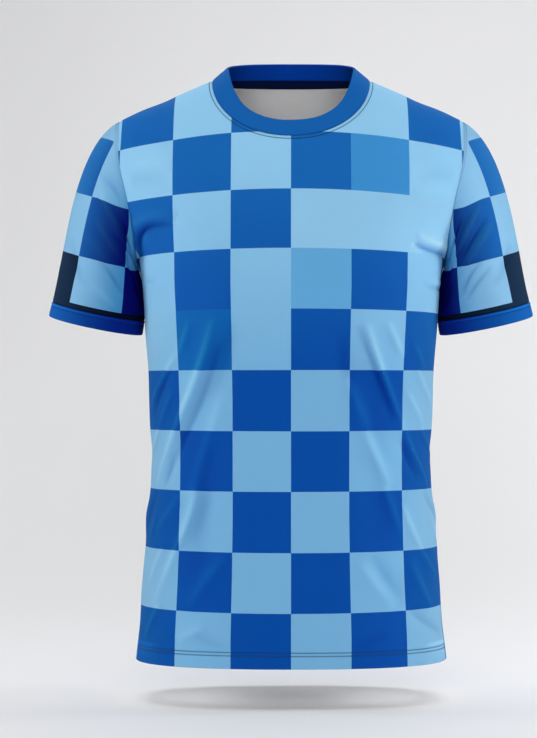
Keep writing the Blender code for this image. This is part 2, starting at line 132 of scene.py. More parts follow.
def smoothStep(at, low, high):
    t = np.clip((at - low) / (high - low), 0, 1)
    return t * t * (3 - 2 * t)


def curved(t, start, leaving, end, arriving):
    # a smooth way from start to end, with the slopes that it has there
    early, late = t * (1 - t) ** 2, t * t * (1 - t)
    return start * (1 + 2 * t) * (1 - t) ** 2 + leaving * early + end * t * t * (3 - 2 * t) - arriving * late


def smoothRead(at, table, column):
    rows = np.array(table)
    known, value = rows[:, 0], rows[:, column]
    at = np.clip(at, known[0], known[-1])
    slope = np.gradient(value, known)
    span = np.clip(np.searchsorted(known, at, side="right") - 1, 0, len(known) - 2)
    width = known[span + 1] - known[span]
    t = (at - known[span]) / width
    return curved(t, value[span], slope[span] * width, value[span + 1], slope[span + 1] * width)


def straightRead(at, table):
    rows = np.array(table)
    return np.interp(at, rows[:, 0], rows[:, 1])


def lengthsAlong(points, axis=0):
    # how far each point lies from the start of its line
    steps = np.linalg.norm(np.diff(points, axis=axis), axis=-1)
    return np.concatenate([0 * steps.take([0], axis), steps.cumsum(axis)], axis)


def softNoise(x, y, size, seed):
    # even random heights on a square grid, joined smoothly
    cells = 64
    heights = np.random.default_rng(seed).uniform(-1, 1, (cells, cells))
    u, v = x / size + 20.3, y / size + 41.7
    i, j = np.floor(u).astype(int), np.floor(v).astype(int)
    s, t = smoothStep(u - i, 0, 1), smoothStep(v - j, 0, 1)
    i, j, iNext, jNext = (place % cells for place in (i, j, i + 1, j + 1))
    low = heights[i, j] * (1 - s) + heights[iNext, j] * s
    high = heights[i, jNext] * (1 - s) + heights[iNext, jNext] * s
    return low * (1 - t) + high * t


def armholeReach(turn, side):
    reach = armholeCut["frontReach"] if side == frontSide else armholeCut["backReach"]
    return reach * np.sin(turn) * (1 - armholeCut["skew"] * np.cos(turn))


def bodySection(z, side):
    depth = smoothRead(z, bodyCut["depth"], 1 if side == frontSide else 2)
    square = smoothRead(z, bodyCut["depth"], 3)
    low, high = bodyCut["underarmZ"], bodyCut["tipZ"]
    turn = np.arccos(np.clip((z - (low + high) / 2) / ((high - low) / 2), -1, 1))
    share = armholeReach(turn, side) / depth
    through = smoothRead(z, armholeCut["line"], 1) / (1 - share**square) ** (1 / square)
    below = smoothRead(z, bodyCut["sideSeam"], 1)
    above = smoothRead(z, bodyCut["shoulderSeam"], 1)
    return np.where(z < low, below, np.where(z > high, above, through)), depth, square


def onSection(angle, half, depth, square):
    sine, cosine = np.sin(angle), np.cos(angle)
    radius = (np.abs(sine / half) ** square + np.abs(cosine / depth) ** square) ** (-1 / square)
    return radius * sine, radius * cosine


def measuredSection(z, side):
    # angles, distances out, and distances round the section from the centre line
    half, depth, square = (value[..., None] for value in bodySection(z, side))
    angle = np.linspace(0, np.pi / 2, sectionSteps)
    out, away = onSection(angle, half, depth, square)
    length = np.cumsum(np.hypot(np.diff(out), np.diff(away)), axis=-1)
    return angle, out, np.concatenate([np.zeros(z.shape + (1,)), length], axis=-1)


def readEach(at, known, value):
    found = np.empty(at.shape)
    for place in np.ndindex(at.shape):
        values = value if value.ndim == 1 else value[place]
        found[place] = np.interp(at[place], known[place], values)
    return found


def acrossAt(x, z, side):
    _, out, length = measuredSection(z, side)
    return readEach(x, out, length)


def bodyPoint(across, z, side):
    angle, _, length = measuredSection(z, side)
    half, depth, square = bodySection(z, side)
    x, away = onSection(readEach(np.abs(across), length, angle), half, depth, square)
    return np.stack([np.sign(across) * x, side * away, z], axis=-1)


def neckCurve(turn, side):
    # half the neckline, from the centre (turn at a right angle) to the neck point (turn 0)
    power = 2 / bodyCut["neckSquare"] if side == frontSide else 1.0
    low = bodyCut["frontNeckZ"] if side == frontSide else bodyCut["backNeckZ"]
    x = bodyCut["neckHalf"] * np.cos(turn).clip(0) ** power
    return x, low * np.sin(turn).clip(0) ** power


def shoulderHeight(x):
    rows = np.array(bodyCut["shoulderSeam"])
    height = np.linspace(rows[0, 0], rows[-1, 0], heightSteps)
    return np.interp(x, smoothRead(height, rows, 1)[::-1], height[::-1])

def armholePoint(turn, side, flare=0.0):
    # turn is 0 at the shoulder tip and pi underarm; the point is on the -X side
    low, high = bodyCut["underarmZ"], bodyCut["tipZ"]
    z = (high + low) / 2 + (high - low) / 2 * np.cos(turn)
    out = smoothRead(z, armholeCut["line"], 1) + flare * np.cos(turn).clip(-1, 0) ** 2
    return np.stack([-out, side * armholeReach(turn, side), z], axis=-1)


def armholeWays(turn, side):
    # the way the sleeve leaves, and the way out of the cloth, at the armhole
    step, end = 0.002, 1e-6
    before, after = (
        armholePoint(np.clip(turn + change, 0, np.pi), side, armholeCut["flare"]) for change in (-step, step)
    )
    along = unit(before - after)
    along[turn < end] = (0.0, -side, 0.0)
    along[turn > np.pi - end] = (0.0, side, 0.0)
    high = np.cos(turn)
    out, back, down = armholeCut["slope"]
    leaving = np.stack([0 * high - out, -side * back * np.abs(np.sin(turn)), -down * (1 + high) / 2], axis=-1)
    leaving = squareTo(along, leaving)
    return leaving, -side * np.cross(along, leaving)


def neckRing(turn, side):
    # the whole neckline of a panel from -X to +X
    x, z = neckCurve(turn, side)
    half = bodyPoint(acrossAt(x, z, side), z, side)
    half[-1, 1] = 0.0
    return np.concatenate([half[::-1] * (-1, 1, 1), half[1:]])


def neckTurns(count):
    return np.linspace(np.pi / 2, 0, count)


collarCut = {
    "shape": (  # share of the way from front to back, lean inwards in degrees, height
        (0, 31, 23),
        (0.5, 50, 24),
        (1, 22, 20.5),
    ),
    "thick": 3.0,
    "seamGap": 0.15,
    "columns": 61,  # on each half of each panel's neckline
    "rows": (
        (0.0, 0.016, 0.04, 0.07, 0.11, 0.17, 0.26, 0.38, 0.5)
        + (0.62, 0.74, 0.84, 0.9, 0.94, 0.965, 0.985, 1.0)
    ),
    "puff": 0.35,
    "puffTo": 0.9,
    "wave": 0.3,
    "waveSize": 24,
    "waveFade": 9,
    "seed": 71,
}


def wayRoundNeck(points):
    x, y = points[:, 0] / bodyCut["neckHalf"] ** 2, points[:, 1] / bodyCut["neckDeep"] ** 2
    return np.arctan2(np.abs(x), -y) / np.pi


def neckWays(points, side):
    # the way the collar rises, and the way out of it
    along = unit(np.gradient(points, axis=0))
    along[0], along[-1] = (0.0, side, 0.0), (0.0, -side, 0.0)
    inwards = unit(-points[:, :2] / (bodyCut["neckHalf"] ** 2, bodyCut["neckDeep"] ** 2))
    lean = np.radians(smoothRead(wayRoundNeck(points), collarCut["shape"], 1))
    rising = squareTo(along, np.column_stack([inwards * np.sin(lean)[:, None], np.cos(lean)]))
    return rising, -side * np.cross(along, rising)


# Folds run through three points, given as the distance across from the centre line
# (negative to the viewer's left on the front) and z. They push the cloth out, or in where
# the push is negative. Lean makes the far side of the fold steeper than the near one.
frontFolds = (  # across, z at the start, at the bend and at the end, half width, push, lean
    # left side of the front
    (-90, -287, -119, -372, -182, -488, 8, 3.4, 0.3),
    (-76, -368, -101, -439, -119, -497, 14, 1.9, 0.25),
    (-113, -479, -128, -534, -177, -624, 8, 2.6, 0.25),
    (-119, -289, -126, -310, -135, -333, 6, 1.7, 0.25),
    (-137, -328, -158, -353, -194, -391, 7, 2.1, 0.25),
    (-144, -370, -155, -388, -173, -417, 5, 1.3, 0.2),
    (-172, -414, -182, -429, -205, -448, 5, 1.5, 0.2),
    (-174, -483, -191, -514, -209, -543, 9, -1.1, 0),
    (-134, -491, -150, -513, -173, -537, 9, 1.5, 0.2),
    (-173, -515, -180, -529, -193, -549, 4, 0.9, 0),
    (-158, -552, -171, -571, -189, -598, 6, 1.5, 0.2),
    (-75, -561, -98, -589, -122, -622, 12, 1.9, 0.2),
    (-92, -484, -104, -518, -116, -556, 16, -1, 0),
    (-163, -617, -176, -637, -196, -664, 7, 1.8, 0.2),
    (-63, -287, -75, -335, -90, -381, 16, -1.3, 0),
    (-80, -312, -104, -381, -156, -480, 9, -1.7, 0),
    (-93, -346, -99, -475, -104, -615, 28, -1.4, 0),
    (-143, -342, -163, -369, -186, -404, 7, -1.5, 0),
    (-142, -442, -149, -463, -160, -484, 5, -1.2, 0),
    (-112, -651, -89, -663, -59, -668, 8, -1, 0),
    (-135, -660, -117, -651, -99, -644, 8, 1.1, 0),
    (-134, -178, -184, -184, -211, -217, 5.5, -4.6, 0),
    (-134, -168, -184, -171, -214, -196, 7.5, 2.6, 0),
    (-199, -244, -182, -243, -167, -248, 4, -1, 0),
    (-140, -126, -165, -123, -192, -124, 12, -1, 0),
    (-140, -109, -165, -106, -194, -107, 12, 0.8, 0),
    (-133, -78, -158, -76, -190, -77, 13, -0.6, 0),
    # right side of the front
    (87, -292, 106, -349, 137, -416, 7, 3.4, -0.3),
    (85, -416, 99, -446, 117, -483, 10, 2.5, -0.25),
    (109, -479, 118, -504, 133, -541, 9, 2, -0.25),
    (113, -291, 124, -313, 135, -333, 6, 1.8, -0.2),
    (149, -314, 160, -330, 175, -349, 8, 1.5, -0.2),
    (159, -345, 173, -365, 206, -391, 6, 1.9, -0.25),
    (141, -370, 153, -388, 175, -414, 6, 1.6, -0.2),
    (63, -354, 74, -384, 90, -418, 12, 2.2, -0.25),
    (138, -414, 152, -442, 189, -485, 6, 2.5, -0.3),
    (168, -412, 182, -429, 224, -451, 5, 1.4, -0.2),
    (132, -428, 142, -449, 160, -475, 6, -1.2, 0),
    (135, -504, 146, -530, 166, -557, 7, 2.1, -0.25),
    (173, -487, 193, -509, 232, -535, 9, -1.1, 0),
    (189, -525, 209, -545, 234, -568, 5, 1, 0),
    (91, -558, 110, -587, 135, -617, 13, -1.3, 0),
    (75, -295, 96, -344, 122, -404, 8, -1.9, 0),
    (88, -335, 98, -440, 106, -555, 26, -1, 0),
    (79, -568, 97, -593, 122, -622, 10, 1.4, -0.2),
    (144, -567, 160, -596, 184, -628, 9, 2.1, -0.25),
    (158, -549, 174, -569, 200, -592, 6, 1.5, -0.2),
    (142, -623, 164, -640, 210, -658, 8, -1.4, 0),
    (54, -301, 60, -349, 71, -393, 16, -1.3, 0),
    (63, -668, 87, -663, 112, -651, 8, -1, 0),
    (146, -199, 178, -208, 243, -209, 5, -3.2, 0),
    (150, -190, 182, -198, 243, -200, 6, 1.5, 0),
    (167, -251, 192, -250, 237, -250, 4, -1.3, 0),
    (167, -245, 191, -244, 238, -244, 4, 1.1, 0),
    (145, -123, 170, -120, 195, -122, 13, -0.8, 0),
    (145, -140, 171, -137, 193, -138, 12, 0.7, 0),
    (141, -78, 164, -74, 190, -76, 13, -0.6, 0),
)
backFolds = (
    (-110, -285, -150, -350, -195, -405, 11, 2.4, 0.2),
    (-84, -305, -130, -398, -182, -478, 9, 2.8, 0.3),
    (-100, -352, -136, -425, -180, -495, 8, -3, 0),
    (-40, -388, -82, -430, -128, -505, 14, -2.3, 0),
    (-60, -360, -100, -440, -140, -535, 12, 2.4, 0.2),
    (-118, -510, -152, -575, -190, -640, 12, 2.8, 0),
    (-92, -500, -122, -562, -158, -620, 10, -2.4, 0),
    (-150, -400, -172, -428, -190, -455, 6, 1.5, 0),
    (-66, -560, -92, -606, -124, -640, 14, 1.4, 0),
    (-205, -190, -172, -180, -132, -186, 9, -2.2, 0),
    (-202, -206, -176, -202, -146, -206, 8, 1.2, 0),
    (-196, -150, -150, -140, -98, -150, 14, 1.7, 0),
    (-190, -120, -146, -104, -92, -106, 13, -1.4, 0),
    (113, -292, 148, -348, 193, -398, 11, 2.3, -0.2),
    (81, -312, 126, -402, 180, -484, 9, 2.7, -0.3),
    (97, -360, 134, -430, 178, -500, 8, -2.9, 0),
    (34, -396, 78, -436, 124, -512, 14, -2.3, 0),
    (56, -370, 98, -448, 136, -541, 12, 2.4, -0.2),
    (114, -516, 150, -580, 188, -636, 12, 2.7, 0),
    (95, -506, 120, -566, 155, -624, 10, -2.3, 0),
    (152, -408, 173, -434, 191, -462, 6, 1.4, 0),
    (70, -566, 96, -610, 121, -642, 14, 1.4, 0),
    (204, -194, 174, -184, 136, -189, 9, -2.1, 0),
    (200, -209, 174, -205, 148, -208, 8, 1.1, 0),
    (194, -146, 152, -137, 102, -146, 14, 1.6, 0),
    (188, -114, 148, -101, 96, -102, 13, -1.3, 0),
)

foldShape = {"gain": 1.35, "steps": 81, "reach": 3, "fade": 0.6, "coreShare": 0.42, "coreWide": 0.45}
# painted shade and highlight of the folds: how push and slope darken troughs and lighten ridges
paintedFoldShadeSizes = {
    "ridge": 0.045,
    "outwards": 0.34,
    "upwards": 0.14,
    "lighter": 0.6,
    "darker": 1.4,
    "limits": (-0.5, 0.24),
}


def bent(t, start, middle, end):
    # a parabola through three values
    bend = 2 * middle - (start + end) / 2
    return (1 - t) ** 2 * start + 2 * t * (1 - t) * bend + t * t * end


def foldPush(across, z, folds):
    t = np.linspace(0, 1, foldShape["steps"])
    core = foldShape["coreShare"]
    push = np.zeros(z.shape)
    for x0, z0, x1, z1, x2, z2, wide, out, lean in folds:
        x, height = bent(t, x0, x1, x2), bent(t, z0, z1, z2)
        reach = foldShape["reach"] * wide
        near = (across > x.min() - reach) & (across < x.max() + reach)
        near &= (z > height.min() - reach) & (z < height.max() + reach)
        dx, dz = across[near][:, None] - x, z[near][:, None] - height
        away = np.hypot(dx, dz)
        place = away.argmin(axis=-1)
        nearest = np.arange(len(place)), place
        over = np.sign(np.gradient(x)[place] * dz[nearest] - np.gradient(height)[place] * dx[nearest])
        share = away[nearest] / (wide * (1 + lean * over))
        shape = (1 - core) * bell(share, 1) + core * bell(share, foldShape["coreWide"])
        push[near] += out * foldShape["gain"] * np.sin(np.pi * t[place]) ** foldShape["fade"] * shape
    return push


def paintedFoldShade(push, points, outwards, upwards):
    # painted highlight and shade: how much lighter ridges and flanks that face out and up are painted, and
    # how much darker troughs
    slopes = []
    for axis in (1, 0):
        apart = np.linalg.norm(np.gradient(points, axis=axis), axis=-1)
        slopes.append(np.gradient(push, axis=axis) / apart)
    tone = paintedFoldShadeSizes["ridge"] * push - paintedFoldShadeSizes["outwards"] * outwards * slopes[0]
    tone = tone - paintedFoldShadeSizes["upwards"] * upwards * slopes[1]
    gain = np.where(tone > 0, paintedFoldShadeSizes["lighter"], paintedFoldShadeSizes["darker"])
    return 1 + (tone * gain).clip(*paintedFoldShadeSizes["limits"])


panelGrid = {
    "neckShare": 0.52,
    "neckColumns": 42,
    "shoulderColumns": 36,
    "neckPoints": 241,  # from which the distance to the neck seam is measured
    "girth": 240,  # about half a panel's, by which the columns at its seams are spaced
    "bodyRows": 148,
    "armholeRows": 54,
    "tipTurn": np.pi / 12,  # the armhole's turn where the rows below the shoulder seam begin
    "tapeTall": 10.0,
    "tapeFlat": 0.38,
    "hemRows": (
        (0.0, 0.25, 0.7, 1.4, 2.6, 4.5, 7.0, 10.0, 12.4, 13.4)
        + (14.2, 15.0, 16.2, 17.4, 18.2, 18.8, 19.3, 20.2, 22.0)
    ),
    "bandRows": (0.2, 0.4, 0.5, 0.56, 0.6, 0.64, 0.7, 0.8, 0.89, 0.95, 1.0),
    "stitchRow": 0.6,
    "ripple": 0.55,  # unevenness of the cloth between its folds
    "rippleSizes": (58, 27),
    "sideFade": 22,  # how sharply the folds end at the side seams
    "topFade": (4, 26),
}


def panelColumns():
    neckShare = panelGrid["neckShare"]
    edge = 1 - np.array(clothWall["seamRows"]) / panelGrid["girth"]
    neck = np.linspace(0, neckShare, panelGrid["neckColumns"] + 1)
    shoulder = np.linspace(neckShare, edge[0], panelGrid["shoulderColumns"] + 1)[1:]
    return np.concatenate([neck, shoulder, edge[1:]])


def panelTop(share, side):
    # distance across and z of the top edge, and of the line one tape width below it
    neckShare, neckHalf = panelGrid["neckShare"], bodyCut["neckHalf"]
    onNeck = share <= neckShare + 1e-9
    turn = (1 - share[onNeck] / neckShare) * np.pi / 2
    neckX, neckZ = neckCurve(turn, side)
    shoulderShare = (share[~onNeck] - neckShare) / (1 - neckShare)
    seamZ = shoulderHeight(neckHalf + (bodyCut["shoulderSeam"][0][1] - neckHalf) * shoulderShare)
    girth = measuredSection(seamZ, side)[2][..., -1]
    across = np.concatenate([acrossAt(neckX, neckZ, side), girth])

    below = across.copy()
    tall, flat = panelGrid["tapeTall"], panelGrid["tapeFlat"]
    underNeck = neckZ - tall * (flat + (1 - flat) * np.sin(turn))
    if side == frontSide:
        rising = neckWays(neckRing(turn, side), side)[0][len(turn) - 1:]
        underNeck = neckZ - tall * rising[:, 2]
        below[onNeck] = acrossAt(neckX - tall * rising[:, 0], underNeck, side)
    tipDrop = (bodyCut["tipZ"] - bodyCut["underarmZ"]) / 2 * (1 - np.cos(panelGrid["tipTurn"]))
    neckDrop = neckZ[-1] - underNeck[-1]
    underSeam = seamZ - (neckDrop + (tipDrop - neckDrop) * shoulderShare)
    return across, np.concatenate([neckZ, seamZ]), below, np.concatenate([underNeck, underSeam])


def panelLayout(side):
    # distance across and z of half a panel's grid, and where each row meets the armhole
    share = panelColumns()
    top, topZ, below, belowZ = panelTop(share, side)
    underarmZ, tipTurn = bodyCut["underarmZ"], panelGrid["tipTurn"]
    hem = bodyCut["hemZ"] + np.array(panelGrid["hemRows"])
    lowZ = np.concatenate([hem, np.linspace(hem[-1], underarmZ, panelGrid["bodyRows"] + 1)[1:]])
    low = share * measuredSection(lowZ, side)[2][:, -1:]

    # up to the tip the rows climb the armhole, and above it a band follows the top edge
    climb = np.linspace(0, 1, panelGrid["armholeRows"] + 1)[1:, None]
    band = np.array(panelGrid["bandRows"])[:, None]
    turns = np.concatenate([np.pi - climb[:, 0] * (np.pi - tipTurn), tipTurn * (1 - band[:, 0])])
    edge = armholePoint(turns, side)
    width, bandWidth = np.split(acrossAt(-edge[:, 0], edge[:, 2], side)[:, None], [len(climb)])
    nearEdge = np.clip((share - 0.5) * 2, 0, 1) ** 2

    def toEdge(table, ends):
        return table + (ends - table[:, -1:]) * nearEdge

    high = share * width * (1 - climb**2) + below * width / width[-1] * climb**2
    bandAcross = toEdge(high[-1] * (1 - band) + top * band, bandWidth)
    highZ = np.concatenate([underarmZ + (belowZ - underarmZ) * climb, belowZ * (1 - band) + topZ * band])
    z = np.concatenate([lowZ[:, None] + 0 * share, toEdge(highZ, edge[:, 2:])])
    return np.concatenate([low, high, bandAcross]), z, np.concatenate([0 * lowZ + np.pi, turns])


def gridFacing(points, side):
    return unit(-side * np.cross(np.gradient(points, axis=1), np.gradient(points, axis=0)))


def seamFacing(seam):
    rise = np.gradient(seam, axis=0)
    return unit(np.stack([-rise[:, 2], 0 * rise[:, 1], rise[:, 0]], axis=-1))

def panelSurface(side, folds, seed):
    # points on the middle of a panel's cloth, the way out there, what its prints and stitches read, and the
    # painted shade and highlight of its folds
    half, halfZ, turns = panelLayout(side)
    across = np.concatenate([-half[:, :0:-1], half], axis=1)
    z = np.concatenate([halfZ[:, :0:-1], halfZ], axis=1)
    width = half[:, -1:]
    points = bodyPoint(across, z, side)
    points[:, [0, -1], 1] = side * armholeReach(turns, side)[:, None]
    plain = gridFacing(points, side)

    fromEdge = 1 - np.clip(np.abs(across) / width, 0, 1)
    topFade = smoothStep(distanceUp(points), *panelGrid["topFade"])
    large, small = panelGrid["rippleSizes"]
    ripple = softNoise(across, z, large, seed) + 0.5 * softNoise(across * 1.3, z * 0.6, small, seed + 1)
    folded = foldPush(across, z, folds)
    # painted shade in troughs and on flanks facing in and down, painted highlight on ridges and on flanks
    # facing out and up
    tone = 1 + (paintedFoldShade(folded, points, np.sign(across), 1) - 1) * topFade
    push = (folded + panelGrid["ripple"] * ripple * topFade) * (1 - (1 - fromEdge) ** panelGrid["sideFade"])
    flareFade = armholeCut["flareFade"]
    flare = (np.where(turns > np.pi / 2, np.cos(turns) ** 2, 0) * armholeCut["flare"])[:, None]
    flare = flare * bell((z - bodyCut["underarmZ"]).clip(None, 0), flareFade)
    flare = flare * bell(fromEdge * width, flareFade)
    slope = unit(np.gradient(points, axis=1))[..., 0].clip(0.3)
    printedAcross = across + push * plain[..., 0] / slope
    points = points + plain * push[..., None]
    points[..., 0] += np.sign(across) * flare

    # the cloth on both sides of a seam faces the same way there
    onSide = (turns > np.pi - 1e-6)[:, None]
    seamOut = np.where(onSide, seamFacing(points[:, 0]), armholeWays(turns, side)[1])[:, None]
    seamOut = np.where((across < 0)[..., None], seamOut, seamOut * (-1, 1, 1))
    seamShare = smoothStep(fromEdge * width, 0, clothWall["seamFade"])[..., None]
    out = unit(seamOut * (1 - seamShare) + gridFacing(points, side) * seamShare)
    return points, out, across, z, printedAcross, tone


def distanceUp(points):
    # how far each point lies below the top edge, along its column
    return lengthsAlong(points[::-1])[::-1]


def distanceIn(points):
    # how far each point lies from the nearer end of its row
    fromLeft = lengthsAlong(points, 1)
    return np.minimum(fromLeft, fromLeft[:, -1:] - fromLeft)


def distanceTo(points, line):
    flat = points.reshape(-1, 3)
    nearest = np.full(len(flat), 1e9)
    for point in line:
        nearest = np.minimum(nearest, ((flat - point) ** 2).sum(axis=-1))
    return np.sqrt(nearest).reshape(points.shape[:-1])


def seamRoll(distance):
    return clothWall["seamRoll"] * bell(distance, clothWall["seamRollWide"])


def stitchDent(distance, at, deep):
    return deep * bell(distance - at, clothWall["dentWide"])


def addObject(name, data):
    made = bpy.data.objects.new(name, data)
    bpy.context.scene.collection.objects.link(made)
    return made


def addPiece(name, mesh):
    mesh.polygons.foreach_set("use_smooth", np.ones(len(mesh.polygons), bool))
    print("made", name, len(mesh.polygons), "faces")
    return addObject(name, mesh)


def pair(first, second):
    # the two values that a map holds at each point
    return np.stack(np.broadcast_arrays(first, second), axis=-1)


def wallMesh(name, outer, inner, out, maps, ring=False, reverseRows=None):
    # a closed wall between two grids of points; maps hold one more column than a ring's points.
    # reverseRows says from which row up the inside shows the second material
    rows, columns = outer.shape[:2]
    spans = columns if ring else columns - 1
    a, b, d = outer[0, 0], outer[0, 1], outer[1, 0]
    turnedOut = bool(np.dot(np.cross(b - a, d - a), out[0, 0]) > 0)
    faces, places, slots = [], [], []

    def addFaces(corners, flipped, slot=0):
        # a corner is a skin, 0 outside or 1 inside, with a row and a column
        corners = corners[::-1] if flipped else corners
        index = [(skin * rows + row) * columns + column % columns for skin, row, column in corners]
        faces.append(np.stack(index, 1))
        places.append(np.stack([pair(row, column) for _, row, column in corners], 1))
        slots.append(slot + 0 * corners[0][1])

    r, c = (place.ravel() for place in np.indices((rows - 1, spans)))
    for skin in (0, 1):
        slot = (r >= reverseRows).astype(int) if skin and reverseRows is not None else 0
        corners = [(skin, r, c), (skin, r, c + 1), (skin, r + 1, c + 1), (skin, r + 1, c)]
        addFaces(corners, turnedOut == bool(skin), slot)

    def rim(rowFrom, columnFrom, rowTo, columnTo):
        # faces that join the two skins along one edge
        start, end = (rowFrom, columnFrom), (rowTo, columnTo)
        addFaces([(0, *start), (0, *end), (1, *end), (1, *start)], not turnedOut)

    c = np.arange(spans)
    rim(0 * c, c + 1, 0 * c, c)
    rim(0 * c + rows - 1, c, 0 * c + rows - 1, c + 1)
    if not ring:
        r = np.arange(rows - 1)
        rim(r, 0 * r, r + 1, 0 * r)
        rim(r + 1, 0 * r + columns - 1, r, 0 * r + columns - 1)

    points = np.concatenate([outer.reshape(-1, 3), inner.reshape(-1, 3)]) * mm
    mesh = bpy.data.meshes.new(name)
    mesh.from_pydata(points.tolist(), [], np.concatenate(faces).tolist())
    mesh.polygons.foreach_set("material_index", np.concatenate(slots).astype(np.int32))
    row, column = np.concatenate(places).reshape(-1, 2).T
    for mapName, table in maps.items():
        layer = mesh.uv_layers.new(name=mapName)
        layer.data.foreach_set("uv", table[row, column].astype(np.float32).ravel())
    mesh.update()
    return addPiece(name, mesh)


printSize = {
    "column": 69.5,
    "straightZ": -80.0,
    "row": 69.6,
    "rowLines": (-626.2, -556.9, -486.9, -417.3, -347.0, -276.5, -206.9, -138.0, -69.3),  # z in the middle
    "lastColumn": ((-690.0, 226.0), (-300.0, 226.0), (-170.0, 208.5), (20.0, 208.5)),  # z, outer edge
    "droop": (  # z, how far a line drops at the sides
        (-640, -2.6), (-557, -2.3),
        (-487, -1.4), (-417, -1.4),
        (-347, -0.2), (-277, 3.8),
        (-207, 8), (-138, 14.9), (-69, 21.9),
    ),
    "droopAt": 207.0,
    "squeeze": (  # z, how much narrower the columns are
        (-655, 0), (-588, 0.022),
        (-518, 0.035), (-450, 0.033),
        (-381, 0.030), (-312, 0.018), (-250, 0),
    ),
}


def bodyPrint(points, across, z, side):
    # column and row of the checks; whole numbers lie on the lines between them
    # over the shoulders the columns run straight up
    high = z > printSize["straightZ"]
    level = np.full(int(high.sum()), printSize["straightZ"])
    across = across.copy()
    across[high] = np.sign(across[high]) * acrossAt(np.abs(points[high][:, 0]), level, side)
    wide = printSize["column"] * (1 - straightRead(z, printSize["squeeze"]))
    column = np.abs(across) / wide
    last = straightRead(z, printSize["lastColumn"])
    outer = 2 + (np.abs(across) - 2 * wide) / (last - 2 * wide)
    column = np.where(column > 2, outer, column)
    drop = straightRead(z, printSize["droop"]) * (points[..., 0] / printSize["droopAt"]) ** 2
    lines = printSize["rowLines"]
    known = (lines[0] - 2 * printSize["row"], *lines, lines[-1] + 2 * printSize["row"])
    row = np.interp(z + drop, known, (len(lines) + 2, *range(len(lines), 0, -1), -1))
    return pair(np.sign(across) * column + 3, row.clip(0.01))


def makePanel(name, side, folds, seed):
    points, out, across, z, printedAcross, tone = panelSurface(side, folds, seed)
    fromNeck = distanceTo(points, neckRing(neckTurns(panelGrid["neckPoints"]), side))
    # the seams are the row ends above the hem and the top edge
    fromSeam = np.minimum(distanceIn(points), distanceUp(points))
    up = z - bodyCut["hemZ"]
    bend, turn = clothWall["hemRound"], clothWall["hemTurn"]
    hemRound = bend - np.sqrt(bend**2 - (bend - up.clip(0, bend)) ** 2)
    dents = sum(stitchDent(up, height, clothWall["hemDent"]) for height in clothWall["hemStitches"])
    dents = dents + stitchDent(fromNeck, clothWall["neckStitch"], clothWall["fineDent"])
    outer = points + out * (clothWall["outer"] - seamRoll(fromSeam) - hemRound - dents)[..., None]
    edge = clothWall["hemEdge"]
    hemLayer = clothWall["hemLayer"] * (1 - smoothStep(up, turn - edge, turn + edge))
    inner = points + out * (clothWall["outer"] - clothWall["thick"] - hemLayer + hemRound)[..., None]
    maps = {
        "checks": bodyPrint(points, printedAcross, z, side),
        "weave": pair(across, z) * mm,
        "edges": pair(up, fromNeck) * mm,
        "seams": pair(fromSeam, fromSeam) * mm,
        "creases": pair(tone, tone),
    }
    reverseRows = int(np.searchsorted(panelGrid["hemRows"], turn))
    return wallMesh(name, outer, inner, out, maps, reverseRows=reverseRows), points, out


sleeveCut = {
    "end": (232.4, 18.0, -274.2),  # centre of its end
    "wide": 55.6,
    "deep": 50.0,
    "lean": 11.8,  # degrees that its end leans off level, outside up
    "hang": 14.5,  # degrees off vertical of the cloth as it reaches the end
    "drop": 6.0,  # degrees that the front hangs lower
    "pulls": (  # pull at the seam, pull at the end, slope down as it leaves
        (182, 195, 0.45),  # shoulder
        (70, 110, 0.85),  # front and back
        (32, 60, 0.75),  # underarm
    ),
    "columns": 144,
    "rows": (0.0, 0.003, 0.007, 0.013, 0.022, 0.035),
    "middleRows": 66,
    "endRows": (0.972, 0.981, 0.988, 0.993, 0.997, 1.0),
    "ripple": 0.5,
    "columnTurn": 68.0,  # degrees of turn that a printed column takes
    "firstColumn": 54.0,
    "seamBend": 17.0,  # degrees by which the first line bends back at the seam
    "rowTall": 72.0,
    "firstRow": 63.0,  # height of the lowest printed line above the end
    "rippleSize": 42,
    "paintedFoldShadeGain": 1.7,  # how much stronger the painted shade and highlight of the folds is than on the body
    "around": 50,  # how a turn reads in the tables of folds
    "down": -230,
    "rippleRound": 60,
    "girth": 320,
    "bendFade": 0.075,  # share of the length over which the first line bends
    "inwards": ((12, 124), (34, 148)),  # degrees from outside, left and right, where it turns to the body and painted shade darkens it
    # degrees from outside over which the outside's painted tones fade
    "outwards": (5, 70),
}
# Around is the turn times 50: 0 outside, 79 in front, 157 underarm, 236 behind. Down is negative.
leftSleeveFolds = (
    (150, -20, 153, -80, 156, -150, 15, 2.3, 0),
    (96, -48, 110, -84, 118, -122, 14, -2, 0),
    (56, -74, 84, -76, 112, -88, 6, 2.8, 0),
    (58, -102, 82, -107, 110, -109, 6, 2.2, 0),
    (94, -60, 118, -58, 148, -64, 8, -3, 0),
    (50, -132, 68, -134, 88, -136, 9, 1.3, 0),
    (74, -144, 90, -154, 104, -172, 7, -1.6, 0),
    (68, -176, 84, -192, 98, -206, 8, 1.3, 0),
    (110, -76, 130, -64, 154, -60, 4, -1.8, 0),
    (114, -46, 134, -24, 160, -16, 4, 1.5, 0),
    (112, -104, 130, -124, 142, -172, 6, -2, 0),
    (50, -62, 68, -44, 82, -32, 8, -1.2, 0),
    (30, -148, 44, -170, 62, -190, 10, -1, 0),
    (252, -25, 226, -75, 192, -120, 10, 2.6, 0.3),
    (226, -18, 208, -48, 182, -74, 9, -2.4, 0),
    (256, -84, 228, -104, 196, -116, 7, 2.2, 0),
    (248, -112, 220, -132, 182, -150, 9, -2, 0),
    (280, -140, 264, -168, 240, -190, 11, -1.2, 0),
    (300, -60, 276, -100, 246, -136, 12, 1.2, 0),
)
